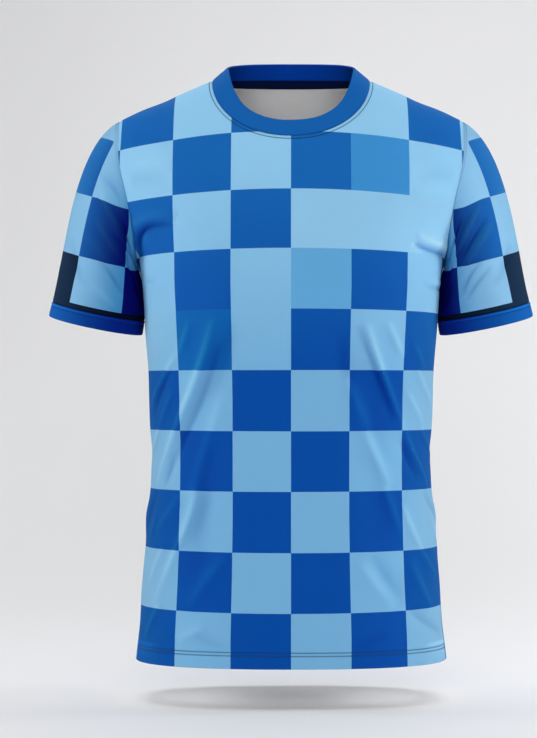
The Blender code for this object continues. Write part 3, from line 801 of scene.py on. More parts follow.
rightSleeveFolds = (
    (150, -20, 153, -80, 156, -150, 15, 2.1, 0),
    (122, -128, 128, -160, 132, -194, 14, -1.8, 0),
    (62, -80, 86, -86, 108, -97, 6, 2.8, 0),
    (54, -116, 76, -121, 100, -131, 7, 2.1, 0),
    (90, -62, 112, -60, 144, -64, 8, -3, 0),
    (58, -103, 79, -109, 98, -117, 5, -1.6, 0),
    (74, -144, 92, -157, 101, -180, 6, -1.8, 0),
    (64, -160, 84, -173, 96, -192, 6, -1.6, 0),
    (110, -58, 124, -62, 140, -78, 5, 1.6, 0),
    (108, -24, 124, -18, 146, -14, 6, -2.6, 0),
    (114, -100, 134, -124, 146, -176, 6, -2, 0),
    (34, -152, 48, -172, 66, -190, 10, -1, 0),
    (250, -28, 224, -78, 190, -122, 10, 2.5, 0.3),
    (228, -20, 206, -50, 180, -78, 9, -2.3, 0),
    (252, -90, 226, -108, 192, -120, 7, 2.1, 0),
    (246, -116, 218, -134, 180, -152, 9, -1.9, 0),
    (282, -136, 262, -166, 238, -188, 11, -1.2, 0),
    (298, -64, 272, -104, 244, -140, 12, 1.1, 0),
)


def sleeveEndAxes():
    lean, drop = np.radians(sleeveCut["lean"]), np.radians(sleeveCut["drop"])
    outwards = np.array([-np.cos(lean), 0.0, np.sin(lean)])
    forwards = np.array([0.0, -np.cos(drop), -np.sin(drop)])
    return outwards, forwards, np.cross(forwards, outwards)


def sleeveEnd(turn, grow=0.0):
    outwards, forwards, _ = sleeveEndAxes()
    cosine, sine = np.cos(turn)[:, None], np.sin(turn)[:, None]
    wide, deep = sleeveCut["wide"] + grow, sleeveCut["deep"] + grow
    centre = np.array(sleeveCut["end"]) * (-1.0, 1.0, 1.0)
    points = centre + outwards * wide * cosine + forwards * deep * sine
    return points, unit(outwards * cosine / wide + forwards * sine / deep)

def ringTurns():
    return np.linspace(0, 2 * np.pi, sleeveCut["columns"] + 1)


def sleeveSurface(folds, seed):
    # points on the middle of the -X sleeve from its seam to its end, the way out, and its turns, with the
    # painted shade and highlight of its folds
    turn = ringTurns()[:-1]
    isFront = turn <= np.pi
    seam, leaving, seamOut = (np.empty((len(turn), 3)) for _ in range(3))
    for side, mask, at in ((frontSide, isFront, turn), (backSide, ~isFront, 2 * np.pi - turn)):
        seam[mask] = armholePoint(at[mask], side, armholeCut["flare"])
        leaving[mask], seamOut[mask] = armholeWays(at[mask], side)
    end, endOut = sleeveEnd(turn)
    cosine = np.cos(turn)[:, None]
    top, middle, under = (np.array(row) for row in sleeveCut["pulls"])
    pulls = middle + (top - under) / 2 * cosine + ((top + under) / 2 - middle) * cosine**2
    hang = np.radians(sleeveCut["hang"])
    axis = np.array([-np.sin(hang), 0.0, -np.cos(hang)])
    away = unit(np.stack([0 * turn - 1, 0 * turn, -pulls[:, 2]], axis=-1))
    middleRows = np.linspace(sleeveCut["rows"][-1], sleeveCut["endRows"][0], sleeveCut["middleRows"])
    t = np.concatenate([sleeveCut["rows"], middleRows[1:-1], sleeveCut["endRows"]])[:, None]
    points = curved(t[..., None], seam, away * pulls[:, :1], end, axis * pulls[:, 1:2])

    def facing(points):
        roundIt = np.roll(points, -1, axis=1) - np.roll(points, 1, axis=1)
        return unit(np.cross(np.gradient(points, axis=0), roundIt))

    around, down = turn * sleeveCut["around"] + 0 * t, sleeveCut["down"] * t + 0 * turn
    size = sleeveCut["rippleRound"]
    ripple = softNoise(np.cos(turn) * size + 0 * t, down + np.sin(turn) * size, sleeveCut["rippleSize"], seed)
    folded = foldPush(around, down, folds)
    # painted highlight on ridges and on upward flanks, painted shade in troughs
    tone = paintedFoldShade(folded * sleeveCut["paintedFoldShadeGain"], points, 0, -1)
    push = (folded + sleeveCut["ripple"] * ripple) * np.sin(np.pi * t) ** 0.5
    points = points + facing(points) * push[..., None]
    fromSeam = lengthsAlong(points)
    fromEnd = fromSeam[-1] - fromSeam
    out = facing(points)
    for edgeOut, distance in ((seamOut, fromSeam), (endOut, fromEnd)):
        share = smoothStep(distance, 0, clothWall["seamFade"])[..., None]
        out = unit(edgeOut * (1 - share) + out * share)
    return points, out, t, fromSeam, fromEnd, tone


def withLastColumn(table):
    # a ring's maps need their first column again at the end, one turn on
    return np.concatenate([table, table[:, :1]], axis=1)


def sleeveShadeShares(turns, mirror):
    # how far a place is turned to the body, which sets its painted shade, and how far outwards
    fromOutside = 180 - np.abs(180 - turns)
    inwards = smoothStep(fromOutside, *sleeveCut["inwards"][mirror])
    return pair(inwards, 1 - smoothStep(fromOutside, *sleeveCut["outwards"]))


def makeSleeve(name, folds, seed, mirror):
    points, out, t, fromSeam, fromEnd, tone = sleeveSurface(folds, seed)
    fromEither = np.minimum(fromSeam, fromEnd)
    outer = points + out * (clothWall["outer"] - seamRoll(fromEither))[..., None]
    inner = points + out * (clothWall["outer"] - clothWall["thick"])
    turns = np.degrees(ringTurns()) + 0 * t
    height = withLastColumn(fromEnd)
    lines = sleeveCut["firstColumn"] - sleeveCut["seamBend"] * np.exp(-t / sleeveCut["bendFade"])
    column = (turns - lines) / sleeveCut["columnTurn"] + 1
    row = (height - sleeveCut["firstRow"]) / sleeveCut["rowTall"] + 1
    maps = {
        "checks": pair(column, row),
        "weave": pair(turns / 360 * sleeveCut["girth"], height) * mm,
        "edges": pair(height, height) * mm,
        "seams": pair(withLastColumn(fromEither), withLastColumn(fromSeam)) * mm,
        "inwards": sleeveShadeShares(turns, mirror),
        "creases": pair(withLastColumn(tone), withLastColumn(tone)),
    }
    flip = (-1.0 if mirror else 1.0, 1.0, 1.0)
    return wallMesh(name, outer * flip, inner * flip, out * flip, maps, ring=True, reverseRows=0)


cuffCut = {
    "tall": 17.5,
    "flare": 0.6,
    "thick": 3.0,
    "gap": 0.15,
    "stitchDrop": 3.8,
    "rows": (
        (0.0, 0.4, 0.9, 1.6, 2.5, 3.2, 3.8, 4.4, 5.2)
        + (7.0, 10.0, 13.0, 15.0, 16.0, 16.6, 17.0, 17.3, 17.5)
    ),
    "wave": 0.35,
    "waveRound": 70,
    "waveSize": 22,
    "waveFade": 8,
    "seed": 61,
    "puff": 0.3,
    "puffAt": 1.9,
    "puffWide": 1.2,
}


bandEdge = {"least": 0.12, "pinch": 0.75, "pinchWide": 1.1}


def bandHalf(distance, tall, thick):
    # half the thickness of a folded band at a distance from its seam
    half = thick / 2
    toFold = (tall - distance).clip(0, half)
    rounded = np.sqrt(half**2 - (half - toFold) ** 2).clip(bandEdge["least"])
    return rounded - bandEdge["pinch"] * bell(distance, bandEdge["pinchWide"])


def makeCuff(name, mirror):
    turn = ringTurns()[:-1]
    rows = np.array(cuffCut["rows"])[:, None, None]
    rings = [sleeveEnd(turn, cuffCut["flare"] * row / cuffCut["tall"]) for row in cuffCut["rows"]]
    points, out = (np.stack(tables) for tables in zip(*rings))
    girth = lengthsAlong(points[0, [*range(len(turn)), 0]])[-1]
    points = points + sleeveEndAxes()[2] * (rows + cuffCut["gap"])
    roundIt = cuffCut["waveRound"] * np.stack([np.cos(turn), np.sin(turn)])[..., None]
    wave = softNoise(*roundIt, cuffCut["waveSize"], cuffCut["seed"]) * cuffCut["wave"]
    points = points + out * wave * smoothStep(rows, 0, cuffCut["waveFade"])
    half = bandHalf(rows, cuffCut["tall"], cuffCut["thick"])
    puff = cuffCut["puff"] * bell(rows - cuffCut["puffAt"], cuffCut["puffWide"])
    outer = points + out * (half + puff - stitchDent(rows, cuffCut["stitchDrop"], clothWall["fineDent"]))
    inner = points - out * half
    turns = np.degrees(ringTurns())
    maps = {
        "weave": pair(turns / 360 * girth, rows[..., 0]) * mm,
        "inwards": sleeveShadeShares(turns + 0 * rows[..., 0], mirror),
    }
    flip = (-1.0 if mirror else 1.0, 1.0, 1.0)
    row = cuffCut["rows"].index(cuffCut["stitchDrop"])
    piece = wallMesh(name, outer * flip, inner * flip, out * flip, maps, ring=True)
    return piece, (outer[row] * flip, out[row] * flip, True)


def makeCollar(name):
    halves = []
    for side in (frontSide, backSide):
        line = neckRing(neckTurns(collarCut["columns"]), side)
        halves.append((line, *neckWays(line, side)))
    ring, rising, out = (np.concatenate([front, back[-2:0:-1]]) for front, back in zip(*halves))
    tall = smoothRead(wayRoundNeck(ring), collarCut["shape"], 2)
    share = np.array(collarCut["rows"])[:, None]
    distance = share * tall
    wave = softNoise(ring[:, 0], ring[:, 1], collarCut["waveSize"], collarCut["seed"]) * collarCut["wave"]
    wave = wave * smoothStep(distance, 0, collarCut["waveFade"])
    points = ring + rising * (distance + collarCut["seamGap"])[..., None] + out * wave[..., None]
    half = bandHalf(distance, tall, collarCut["thick"])
    puff = collarCut["puff"] * np.sin(np.pi * share.clip(0, collarCut["puffTo"]) / collarCut["puffTo"])
    outer = points + out * (half + puff)[..., None]
    inner = points - out * half[..., None]
    around = lengthsAlong(np.concatenate([ring, ring[:1]]))
    maps = {"weave": pair(around, withLastColumn(distance)) * mm}
    return wallMesh(name, outer, inner, out[None], maps, ring=True, reverseRows=0)


tapeCut = {
    "wall": 0.8,
    "inside": 0.25,
    "rounded": 0.25,
    "roundedWide": 0.05,
    "rows": (0.0, 0.04, 0.1, 0.2, 0.35, 0.5, 0.65, 0.8, 0.9, 0.96, 1.0),
}


def neckSpan(points):
    # the columns of a panel that end on its neckline
    middle = points.shape[1] // 2
    return slice(middle - panelGrid["neckColumns"], middle + panelGrid["neckColumns"] + 1)


def makeTape(name, points, out):
    # it runs over the back neck seam, inside, one tape width down
    rows = np.array((0.0,) + panelGrid["bandRows"])
    share = np.array(tapeCut["rows"])
    place = np.searchsorted(rows, share, side="right").clip(1, len(rows) - 1)
    t = ((share - rows[place - 1]) / (rows[place] - rows[place - 1]))[:, None, None]
    bands = (table[-len(rows):, neckSpan(points)] for table in (points, out))
    middle, facing = (table[place - 1] * (1 - t) + table[place] * t for table in bands)
    facing = unit(facing)
    skin = clothWall["outer"] - clothWall["thick"] - tapeCut["inside"]
    wide = tapeCut["roundedWide"]
    rounded = tapeCut["rounded"] * (bell(share, wide) + bell(1 - share, wide))
    outer = middle + facing * skin
    inner = middle + facing * (skin - tapeCut["wall"] + rounded)[:, None, None]
    maps = {"weave": pair(lengthsAlong(middle[0]), share[:, None] * panelGrid["tapeTall"]) * mm}
    return wallMesh(name, outer, inner, facing, maps)


def operator(operation, swapped=False):
    def apply(wire, other):
        return wire.maths(operation, *((other, wire) if swapped else (wire, other)))

    return apply


class Wire:
    # an output socket of a node, which Python sums turn into Math nodes
    def __init__(self, graph, socket):
        self.graph, self.socket = graph, socket

    def out(self, name):
        # another output of the same node
        return Wire(self.graph, self.socket.node.outputs[name])

    def maths(self, operation, *values):
        return self.graph.node("ShaderNodeMath", dict(enumerate(values)), operation=operation)

    __add__, __radd__ = operator("ADD"), operator("ADD", swapped=True)
    __sub__, __rsub__ = operator("SUBTRACT"), operator("SUBTRACT", swapped=True)
    __mul__, __rmul__ = operator("MULTIPLY"), operator("MULTIPLY", swapped=True)
    __truediv__, __rtruediv__ = operator("DIVIDE"), operator("DIVIDE", swapped=True)
    __pow__, __mod__ = operator("POWER"), operator("FLOORED_MODULO")

    def through(self, operation):
        return self.maths(operation, self)

    def held(self):
        # kept between 0 and 1
        return self.maths("MINIMUM", self.maths("MAXIMUM", self, 0.0), 1.0)

    def over(self, line):
        # 0 below a line and 1 above it
        return self.maths("GREATER_THAN", self, line)


class Graph:
    # a node tree, built from the values and settings given to each node
    def __init__(self, tree):
        self.tree = tree
        tree.nodes.clear()

    def node(self, kind, values, output=0, **settings):
        made = self.tree.nodes.new(kind)
        for key, value in settings.items():
            setattr(made, key, value)
        for place, value in values.items():
            if isinstance(value, Wire):
                self.tree.links.new(value.socket, made.inputs[place])
            else:
                made.inputs[place].default_value = value
        return Wire(self, made.outputs[output]) if len(made.outputs) else None


class Cloth(Graph):
    def __init__(self, name):
        self.material = bpy.data.materials.new(name)
        self.material.use_nodes = True
        super().__init__(self.material.node_tree)

    def split(self, mapName):
        parts = self.node("ShaderNodeSeparateXYZ", {0: self.node("ShaderNodeUVMap", {}, uv_map=mapName)})
        return parts, parts.out("Y")

    def objectPlace(self):
        return self.node("ShaderNodeSeparateXYZ", {0: self.node("ShaderNodeTexCoord", {}, output="Object")})

    def noise(self, x, y, size, seed, detail=2.0):
        # about -1 to 1, with lumps of the given size in the map's own units
        place = self.node("ShaderNodeCombineXYZ", {"X": x / size, "Y": y / size, "Z": float(seed)})
        values = {"Vector": place, "Scale": 1.0, "Detail": detail}
        return (self.node("ShaderNodeTexNoise", values, output="Fac") - 0.5) * 2.4

    def mix(self, share, first, second):
        return self.node("ShaderNodeMix", {0: share, 6: first, 7: second}, output=2, data_type="RGBA")

    def brighter(self, colour, gain):
        # the colour times a number that varies
        return self.node("ShaderNodeVectorMath", {0: colour, "Scale": gain}, operation="SCALE")

    def tinted(self, colour, tint):
        return self.node("ShaderNodeVectorMath", {0: colour, 1: tint}, operation="MULTIPLY")

    def finish(self, colour, rough, height, distance, sheen=0.0, strength=1.0):
        bump = self.node("ShaderNodeBump", {"Strength": strength, "Distance": distance, "Height": height})
        values = {
            "Base Color": colour,
            "Roughness": rough,
            "Specular IOR Level": 0.05,
            "Sheen Weight": sheen,
            "Sheen Roughness": 0.45,
            "Normal": bump,
        }
        self.node("ShaderNodeOutputMaterial", {"Surface": self.node("ShaderNodeBsdfPrincipled", values)})
        return self.material


def linear(shown):
    # a colour as a screen shows it, 0 to 255, as the light it stands for
    shares = np.array(shown) / 255
    values = np.where(shares <= 0.04045, shares / 12.92, ((shares + 0.055) / 1.055) ** 2.4)
    return tuple(float(value) for value in values) + (1.0,)


def dimmed(colour, share):
    return tuple(share * value for value in colour[:3]) + (1.0,)


shownColours = {
    "light": (144, 201, 238),
    "lightLow": (118, 178, 220),
    "lightPale": (143, 198, 234),
    "lightSleeve": (138, 192, 229),
    "lightInnerShade": (64, 136, 188),
    "lightOuterPainted": (126, 178, 214),
    "royal": (22, 101, 180),
    "royalLow": (4, 76, 165),
    "royalInnerShade": (0, 6, 98),
    "royalOuterPaintedSheen": (36, 112, 180),
    "mid": (60, 143, 208),
    "midLow": (14, 97, 175),
    "shade": (98, 168, 218),
    "navy": (19, 44, 72),
    "navyInnerShade": (2, 8, 30),
    "cuff": (12, 90, 170),
    "cuffInnerShade": (0, 30, 118),
    "collar": (16, 92, 168),
    "collarInnerShade": (0, 62, 164),
    "reverse": (214, 214, 214),
    "tape": (5, 17, 56),
    "threadBlue": (10, 70, 150),
    "threadHem": (58, 116, 172),
    "threadLight": (58, 108, 160),
}
printAndShadeColours = {name: linear(shown) for name, shown in shownColours.items()}
knit = {"wale": 0.00062, "course": 0.0005, "deep": 0.00012, "rough": 0.8, "rib": 0.0013, "ribDeep": 0.00008}
thread = {"twist": 0.0005, "deep": 0.00005, "rough": 0.55, "sheen": 0.1}


def waves(along, size):
    return (along * (2 * np.pi / size)).through("SINE")


def clothFinish(cloth, colour, x, y, seed):
    # columns of small loops, in light and dark patches
    patch, speck = cloth.noise(x, y, 0.035, seed), cloth.noise(x, y, 0.0011, seed + 3, 1.0)
    colour = cloth.brighter(colour, 1.0 + patch * 0.018 + speck * 0.03)
    wale, course = waves(x, knit["wale"]), waves(y, knit["course"])
    height = wale * 0.5 + course * wale * 0.35 + cloth.noise(x, y, 0.006, seed + 5) * 1.2
    return cloth.finish(colour, knit["rough"] + patch * 0.03, height, knit["deep"])


def everyOther(column, row):
    # 1 where column and row number add up to an odd number
    return (column.through("FLOOR") + row.through("FLOOR") + 40.0) % 2.0


def within(column, row, columns, rows):
    # 1 in a block of checks
    inside = column.over(columns[0]) * (1.0 - column.over(columns[1]))
    return inside * row.over(rows[0]) * (1.0 - row.over(rows[1]))


paintedLines = {  # painted shade along seams and stitch dents: width in metres, share of the light that it takes
    "seam": (0.0013, 0.22),
    "seamOffNeck": 0.44,  # what the seam takes besides, away from the neck
    "sleeveSeam": (0.0013, 0.62),
    "neckStitches": (0.0006, 0.75),
    "hemStitches": (0.0007, 0.6),
    "cuffStitches": (0.0006, 0.55),
    "bandSeam": (0.0006, 0.4),
    # a negative share: a painted highlight on the cuff's puff above its stitches
    "cuffPaintedHighlight": (0.0011, -0.6),
}
paintedLightTints = {  # painted shade in troughs, painted highlight on ridges and painted sheen at the sides: on the light checks, on the royal ones
    "trough": ((0.5, 0.58, 0.74, 1.0), (0.1, 0.33, 0.64, 1.0)),
    "ridge": ((1.6, 1.33, 1.14, 1.0), (2.8, 1.7, 1.05, 1.0)),
    "side": ((1.14, 0.98, 0.91, 1.0), (1.3, 1.24, 0.91, 1.0)),
}


def darkLine(distance, at, wide, deep):
    # painted shade: what is left of the light on a thin line at a distance from an edge; a negative share
    # paints a highlight
    return 1.0 - ((((distance - at) / wide) ** 2.0) * -1.0).through("EXPONENT") * deep


def withPaintedFoldShade(cloth, colour, odd):
    # painted shade turns troughs deeper blue and a painted highlight turns ridges paler, the blue checks more
    # than the light ones
    tone = cloth.split("creases")[0]
    trough, ridge = (cloth.mix(odd, *paintedLightTints[name]) for name in ("trough", "ridge"))
    colour = cloth.mix(((1.0 - tone) * 2.4).held(), colour, cloth.tinted(colour, trough))
    return cloth.mix(((tone - 1.0) * 4.0).held(), colour, cloth.tinted(colour, ridge))


def betweenColours(cloth, share, first, second):
    return cloth.mix(share, printAndShadeColours[first], printAndShadeColours[second])


def bodyMaterial(name, isFront):
    cloth = Cloth(name)
    column, row = cloth.split("checks")
    x, y = cloth.split("weave")
    flipped = within(column, row, (-4.0, 3.0), (-2.0, 4.0))
    odd = everyOther(column + flipped, row)
    low = ((row - 1.6) / 3.4).held()
    light, royal = (betweenColours(cloth, low, tone, tone + "Low") for tone in ("light", "royal"))
    colour = cloth.mix(odd, light, royal)
    oddCells = (
        ((3.0, 4.0), (-2.0, 1.0), "light"),
        ((3.0, 4.0), (1.0, 2.0), "royal"),
        ((3.0, 9.0), (2.0, 3.0), "lightPale"),
        ((4.0, 5.0), (1.0, 2.0), "mid"),
        ((1.0, 2.0), (4.0, 5.0), "midLow"),
        ((3.0, 4.0), (3.0, 4.0), "shade"),
    )
    for columns, rows, tone in oddCells if isFront else oddCells[3:5]:
        colour = cloth.mix(within(column, row, columns, rows), colour, printAndShadeColours[tone])
    height, fromNeck = cloth.split("edges")
    fromSeam = cloth.split("seams")[0]
    # painted shade along the seams and the stitch dents
    wide, deep = paintedLines["seam"]
    lines = darkLine(fromSeam, 0.0, wide, fromNeck.over(0.006) * paintedLines["seamOffNeck"] + deep)
    lines = lines * darkLine(fromNeck, clothWall["neckStitch"] * mm, *paintedLines["neckStitches"])
    for line in clothWall["hemStitches"]:
        lines = lines * darkLine(height, line * mm, *paintedLines["hemStitches"])
    colour = withPaintedFoldShade(cloth, cloth.brighter(colour, lines), odd)
    # painted sheen: below the arms the checks at the sides are a little less blue
    side = ((x.through("ABSOLUTE") - 0.12) / 0.07).held() * ((-0.24 - y) / 0.06).held()
    colour = cloth.mix(side, colour, cloth.tinted(colour, cloth.mix(odd, *paintedLightTints["side"])))
    return clothFinish(cloth, colour, x, y, 11)


def sleeveMaterial(name):
    cloth = Cloth(name)
    column, row = cloth.split("checks")
    x, y = cloth.split("weave")
    inwards, outwards = cloth.split("inwards")
    height = cloth.split("edges")[0]
    fromEdge, fromArmhole = cloth.split("seams")
    # painted shade: the checks darken towards the side turned to the body
    light = betweenColours(cloth, inwards * inwards, "lightSleeve", "lightInnerShade")
    # the outside takes painted tones for the side light: a duller light check and a paler royal as painted
    # sheen
    light = cloth.mix(outwards, light, printAndShadeColours["lightOuterPainted"])
    royal = betweenColours(cloth, inwards, "royal", "royalInnerShade")
    royal = cloth.mix(outwards, royal, printAndShadeColours["royalOuterPaintedSheen"])
    navy = betweenColours(cloth, inwards, "navy", "navyInnerShade")
    # the outer royal check stops short of the armhole
    short = within(column, row, (0.0, 2.0), (2.0, 4.0)) * (1.0 - fromArmhole.over(0.008))
    odd = everyOther(column + 1.0, row) * (1.0 - short)
    colour = cloth.mix(odd, light, royal)
    colour = cloth.mix(within(column, row, (0.0, 1.0), (-1.0, 1.0)), colour, navy)
    colour = cloth.mix(1.0 - height.over(0.0065), colour, navy)
    # painted shade along the armhole seam
    lines = darkLine(fromEdge, 0.0, *paintedLines["sleeveSeam"])
    colour = withPaintedFoldShade(cloth, cloth.brighter(colour, lines), odd)
    return clothFinish(cloth, colour, x, y, 17)


def plainMaterial(name, tone, seed):
    cloth = Cloth(name)
    x, y = cloth.split("weave")
    colour = printAndShadeColours[tone]
    base = cloth.mix(cloth.noise(x, y, 0.05, seed + 9).held(), colour, dimmed(colour, 0.96))
    return clothFinish(cloth, base, x, y, seed)


def ribMaterial(name, tone, seed):
    # the collar and the cuffs: a finer, denser knit
    cloth = Cloth(name)
    x, y = cloth.split("weave")
    patch = cloth.noise(x, y, 0.02, seed)
    # painted shade along the band's seam, and on the cuffs along their stitch dent
    lines = darkLine(y, 0.0, *paintedLines["bandSeam"])
    if tone == "cuff":
        lines = darkLine(y, cuffCut["stitchDrop"] * mm, *paintedLines["cuffStitches"]) * lines
        # painted highlight on the puff between the seam and the stitches
        lines = lines * darkLine(y, 0.0018, *paintedLines["cuffPaintedHighlight"])
        # painted shade: the cuff darkens on the side turned to the body
        colour = betweenColours(cloth, cloth.split("inwards")[0], "cuff", "cuffInnerShade")
    else:
        colour = cloth.mix(patch.held(), printAndShadeColours[tone], dimmed(printAndShadeColours[tone], 0.95))
    tint = cloth.brighter(colour, lines * (1.0 + patch * 0.02))
    height = waves(x, knit["rib"]) + cloth.noise(x, y, 0.003, seed + 1)
    return cloth.finish(tint, knit["rough"] + patch * 0.03, height, knit["ribDeep"])


def threadMaterial(name):
    cloth = Cloth(name)
    x = cloth.objectPlace()
    z = x.out("Z")
    patch = cloth.noise(x, z, 0.01, 5)
    tint = cloth.mix(patch.held(), printAndShadeColours[name], dimmed(printAndShadeColours[name], 0.9))
    rough, twist = thread["rough"] + patch * 0.05, waves(x + z, thread["twist"])
    return cloth.finish(tint, rough, twist, thread["deep"], thread["sheen"])


# metres
stitchCut = {
    "hem": {"Step": 0.0033, "Long": 0.0026, "Wide": 0.00042, "High": 0.0003},
    "fine": {"Step": 0.0030, "Long": 0.0024, "Wide": 0.00042, "High": 0.0003},
    "lift": 0.00005,
}


def stitchTree(material):
    # a stitch at every step along a line, lying on the cloth
    tree = bpy.data.node_groups.new("stitchesAlong", "GeometryNodeTree")
    tree.interface.new_socket("Geometry", in_out="INPUT", socket_type="NodeSocketGeometry")
    for name in stitchCut["hem"]:
        tree.interface.new_socket(name, in_out="INPUT", socket_type="NodeSocketFloat")
    tree.interface.new_socket("Geometry", in_out="OUTPUT", socket_type="NodeSocketGeometry")
    graph = Graph(tree)
    given = graph.node("NodeGroupInput", {})
    curve = graph.node("GeometryNodeMeshToCurve", {"Mesh": given})
    values = {"Curve": curve, "Length": given.out("Step")}
    spaced = graph.node("GeometryNodeResampleCurve", values, mode="LENGTH")
    ball = graph.node("GeometryNodeMeshUVSphere", {"Segments": 6, "Rings": 4, "Radius": 0.5}, output="Mesh")
    values = {"X": given.out("Long"), "Y": given.out("Wide"), "Z": given.out("High")}
    size = graph.node("ShaderNodeCombineXYZ", values)
    shaped = graph.node("GeometryNodeTransform", {"Geometry": ball, "Scale": size})
    attribute, turning = "GeometryNodeInputNamedAttribute", "FunctionNodeAlignRotationToVector"
    facing = graph.node(attribute, {"Name": "facing"}, output="Attribute", data_type="FLOAT_VECTOR")
    upwards = graph.node(turning, {"Vector": facing}, axis="Z")
    along = graph.node("GeometryNodeInputTangent", {})
    turned = graph.node(turning, {"Rotation": upwards, "Vector": along}, axis="X", pivot_axis="Z")
    values = {"Points": spaced, "Instance": shaped, "Rotation": turned}
    placed = graph.node("GeometryNodeInstanceOnPoints", values)
    real = graph.node("GeometryNodeRealizeInstances", {"Geometry": placed})
    coloured = graph.node("GeometryNodeSetMaterial", {"Geometry": real, "Material": material})
    graph.node("NodeGroupOutput", {0: coloured})
    return tree


def makeStitches(name, lines, kind, material):
    # each line gives its points and ways out, in millimetres, and says whether it is closed
    points, facings, edges = [], [], []
    for line, out, closed in lines:
        first, count, spans = len(points), len(line), len(line) if closed else len(line) - 1
        points += (line * mm + out * stitchCut["lift"]).tolist()
        facings += out.tolist()
        edges += [(first + place, first + (place + 1) % count) for place in range(spans)]
    mesh = bpy.data.meshes.new(name + "Line")
    mesh.from_pydata(points, edges, [])
    attribute = mesh.attributes.new("facing", "FLOAT_VECTOR", "POINT")
    attribute.data.foreach_set("vector", np.array(facings, np.float32).ravel())
    carrier = addObject(name + "Line", mesh)
    modifier = carrier.modifiers.new("stitches", "NODES")
    modifier.node_group = stitchTree(material)
    for item in modifier.node_group.interface.items_tree:
        if item.name in stitchCut[kind]:
            modifier[item.identifier] = stitchCut[kind][item.name]
    made = bpy.data.meshes.new_from_object(carrier.evaluated_get(bpy.context.evaluated_depsgraph_get()))
    bpy.data.objects.remove(carrier)
    made.name = name
    return addPiece(name, made)


def rowLine(points, out, row, columns=slice(None)):
    # a row of a panel's grid, on the outer face
    return points[row, columns] + out[row, columns] * clothWall["outer"], out[row, columns], False


frontCloth, *frontGrid = makePanel("frontCloth", frontSide, frontFolds, 3)
backCloth, *backGrid = makePanel("backCloth", backSide, backFolds, 7)
leftSleeve = makeSleeve("leftSleeveCloth", leftSleeveFolds, 21, False)
rightSleeve = makeSleeve("rightSleeveCloth", rightSleeveFolds, 29, True)
leftCuff, leftCuffLine = makeCuff("leftCuffCloth", False)
rightCuff, rightCuffLine = makeCuff("rightCuffCloth", True)
collarCloth = makeCollar("collarCloth")
tapeCloth = makeTape("neckTapeCloth", *backGrid)

hemRows = [panelGrid["hemRows"].index(height) for height in clothWall["hemStitches"]]
hemLines = [rowLine(*grid, row) for grid in (frontGrid, backGrid) for row in hemRows]
neckRow = panelGrid["bandRows"].index(panelGrid["stitchRow"]) - len(panelGrid["bandRows"])
neckLines = [rowLine(*grid, neckRow, neckSpan(grid[0])) for grid in (frontGrid, backGrid)]
reverse = plainMaterial("clothReverse", "reverse", 41)
bodyFront, bodyBack = bodyMaterial("printFront", True), bodyMaterial("printBack", False)
sleevePrint = sleeveMaterial("printSleeve")
cuffBlue = ribMaterial("cuffBlue", "cuff", 51)
collarBlue = ribMaterial("collarBlue", "collar", 53)
# painted shade: the inside of the collar is a darker copy of its blue
collarInsideShaded = ribMaterial("collarInsideShaded", "collarInnerShade", 55)
tapeNavy = plainMaterial("tapeNavy", "tape", 47)
threads = ("threadBlue", "threadHem", "threadLight")
threadBlue, threadHem, threadLight = (threadMaterial(name) for name in threads)
print("made the materials")
hemStitches = makeStitches("hemStitches", hemLines, "hem", threadHem)
neckStitches = makeStitches("neckStitches", neckLines, "fine", threadLight)
leftCuffStitches = makeStitches("leftCuffStitches", [leftCuffLine], "fine", threadBlue)
rightCuffStitches = makeStitches("rightCuffStitches", [rightCuffLine], "fine", threadBlue)

# metres
studio = {
    "floorZ": -0.7376,
    "half": 4.0,
    "floorY": (-4.0, -2.0, 0.0, 0.2),
    "backY": 3.0,
    "curve": 2.6,
    "curveSteps": 25,
    "columns": 9,
    "left": 0.83,  # painted light: how light the floor is on either side
    "right": 0.96,
    "blend": 1.2,
    "darker": (0.85, 0.55, 0.11),  # y, width and share of the light lost, behind the jersey
    "lens": 109.8,
    "sensor": 36.0,
    "shift": (-0.0305, 0.0352),
    "camera": (0.0, -2.7, -0.3756),
    "sky": (0.95, 0.97, 1.0, 1.0),
    "skyLight": 0.03,
}


def studioGrey():
    cloth = Cloth("studioGrey")
    x = cloth.objectPlace()
    y = x.out("Y")
    # painted light: the floor grows lighter from left to right
    left, right = ((light, light, light * 1.01, 1.0) for light in (studio["left"], studio["right"]))
    colour = cloth.mix((x / studio["blend"] + 0.5).held(), left, right)
    # a little darker behind the jersey, where the overhead light is strongest
    colour = cloth.brighter(colour, darkLine(y, *studio["darker"]))
    grain = cloth.noise(x, y, 0.4, 3)
    return cloth.finish(colour, 0.85 + grain * 0.02, grain, 0.0001, strength=0.2)


def makeStage():
    # a floor that curves up into the backdrop
    steps = np.radians(np.linspace(0, 90, studio["curveSteps"]))
    start = studio["backY"] - studio["curve"]
    y = [*studio["floorY"], *(start + studio["curve"] * np.sin(steps)), studio["backY"]]
    z = [0.0 for _ in studio["floorY"]] + [*(studio["curve"] * (1 - np.cos(steps))), studio["half"]]
    across = np.linspace(-studio["half"], studio["half"], studio["columns"])
    points = [(x, b, c + studio["floorZ"]) for b, c in zip(y, z) for x in across]
    row, column = (place.ravel() for place in np.indices((len(y) - 1, len(across) - 1)))
    first = row * len(across) + column
    faces = np.stack([first, first + 1, first + 1 + len(across), first + len(across)], axis=-1)
    mesh = bpy.data.meshes.new("studioFloor")
    mesh.from_pydata(points, [], faces.tolist())
    mesh.materials.append(studioGrey())
    return addPiece("studioFloor", mesh)


def addLight(name, place, aim, size, power):
    data = bpy.data.lights.new(name, "AREA")
    data.shape, data.size, data.size_y = "RECTANGLE", *size
    data.energy = power
    light = addObject(name, data)
    light.location = place
    way = mathutils.Vector(aim) - mathutils.Vector(place)
    light.rotation_euler = way.to_track_quat("-Z", "Y").to_euler()


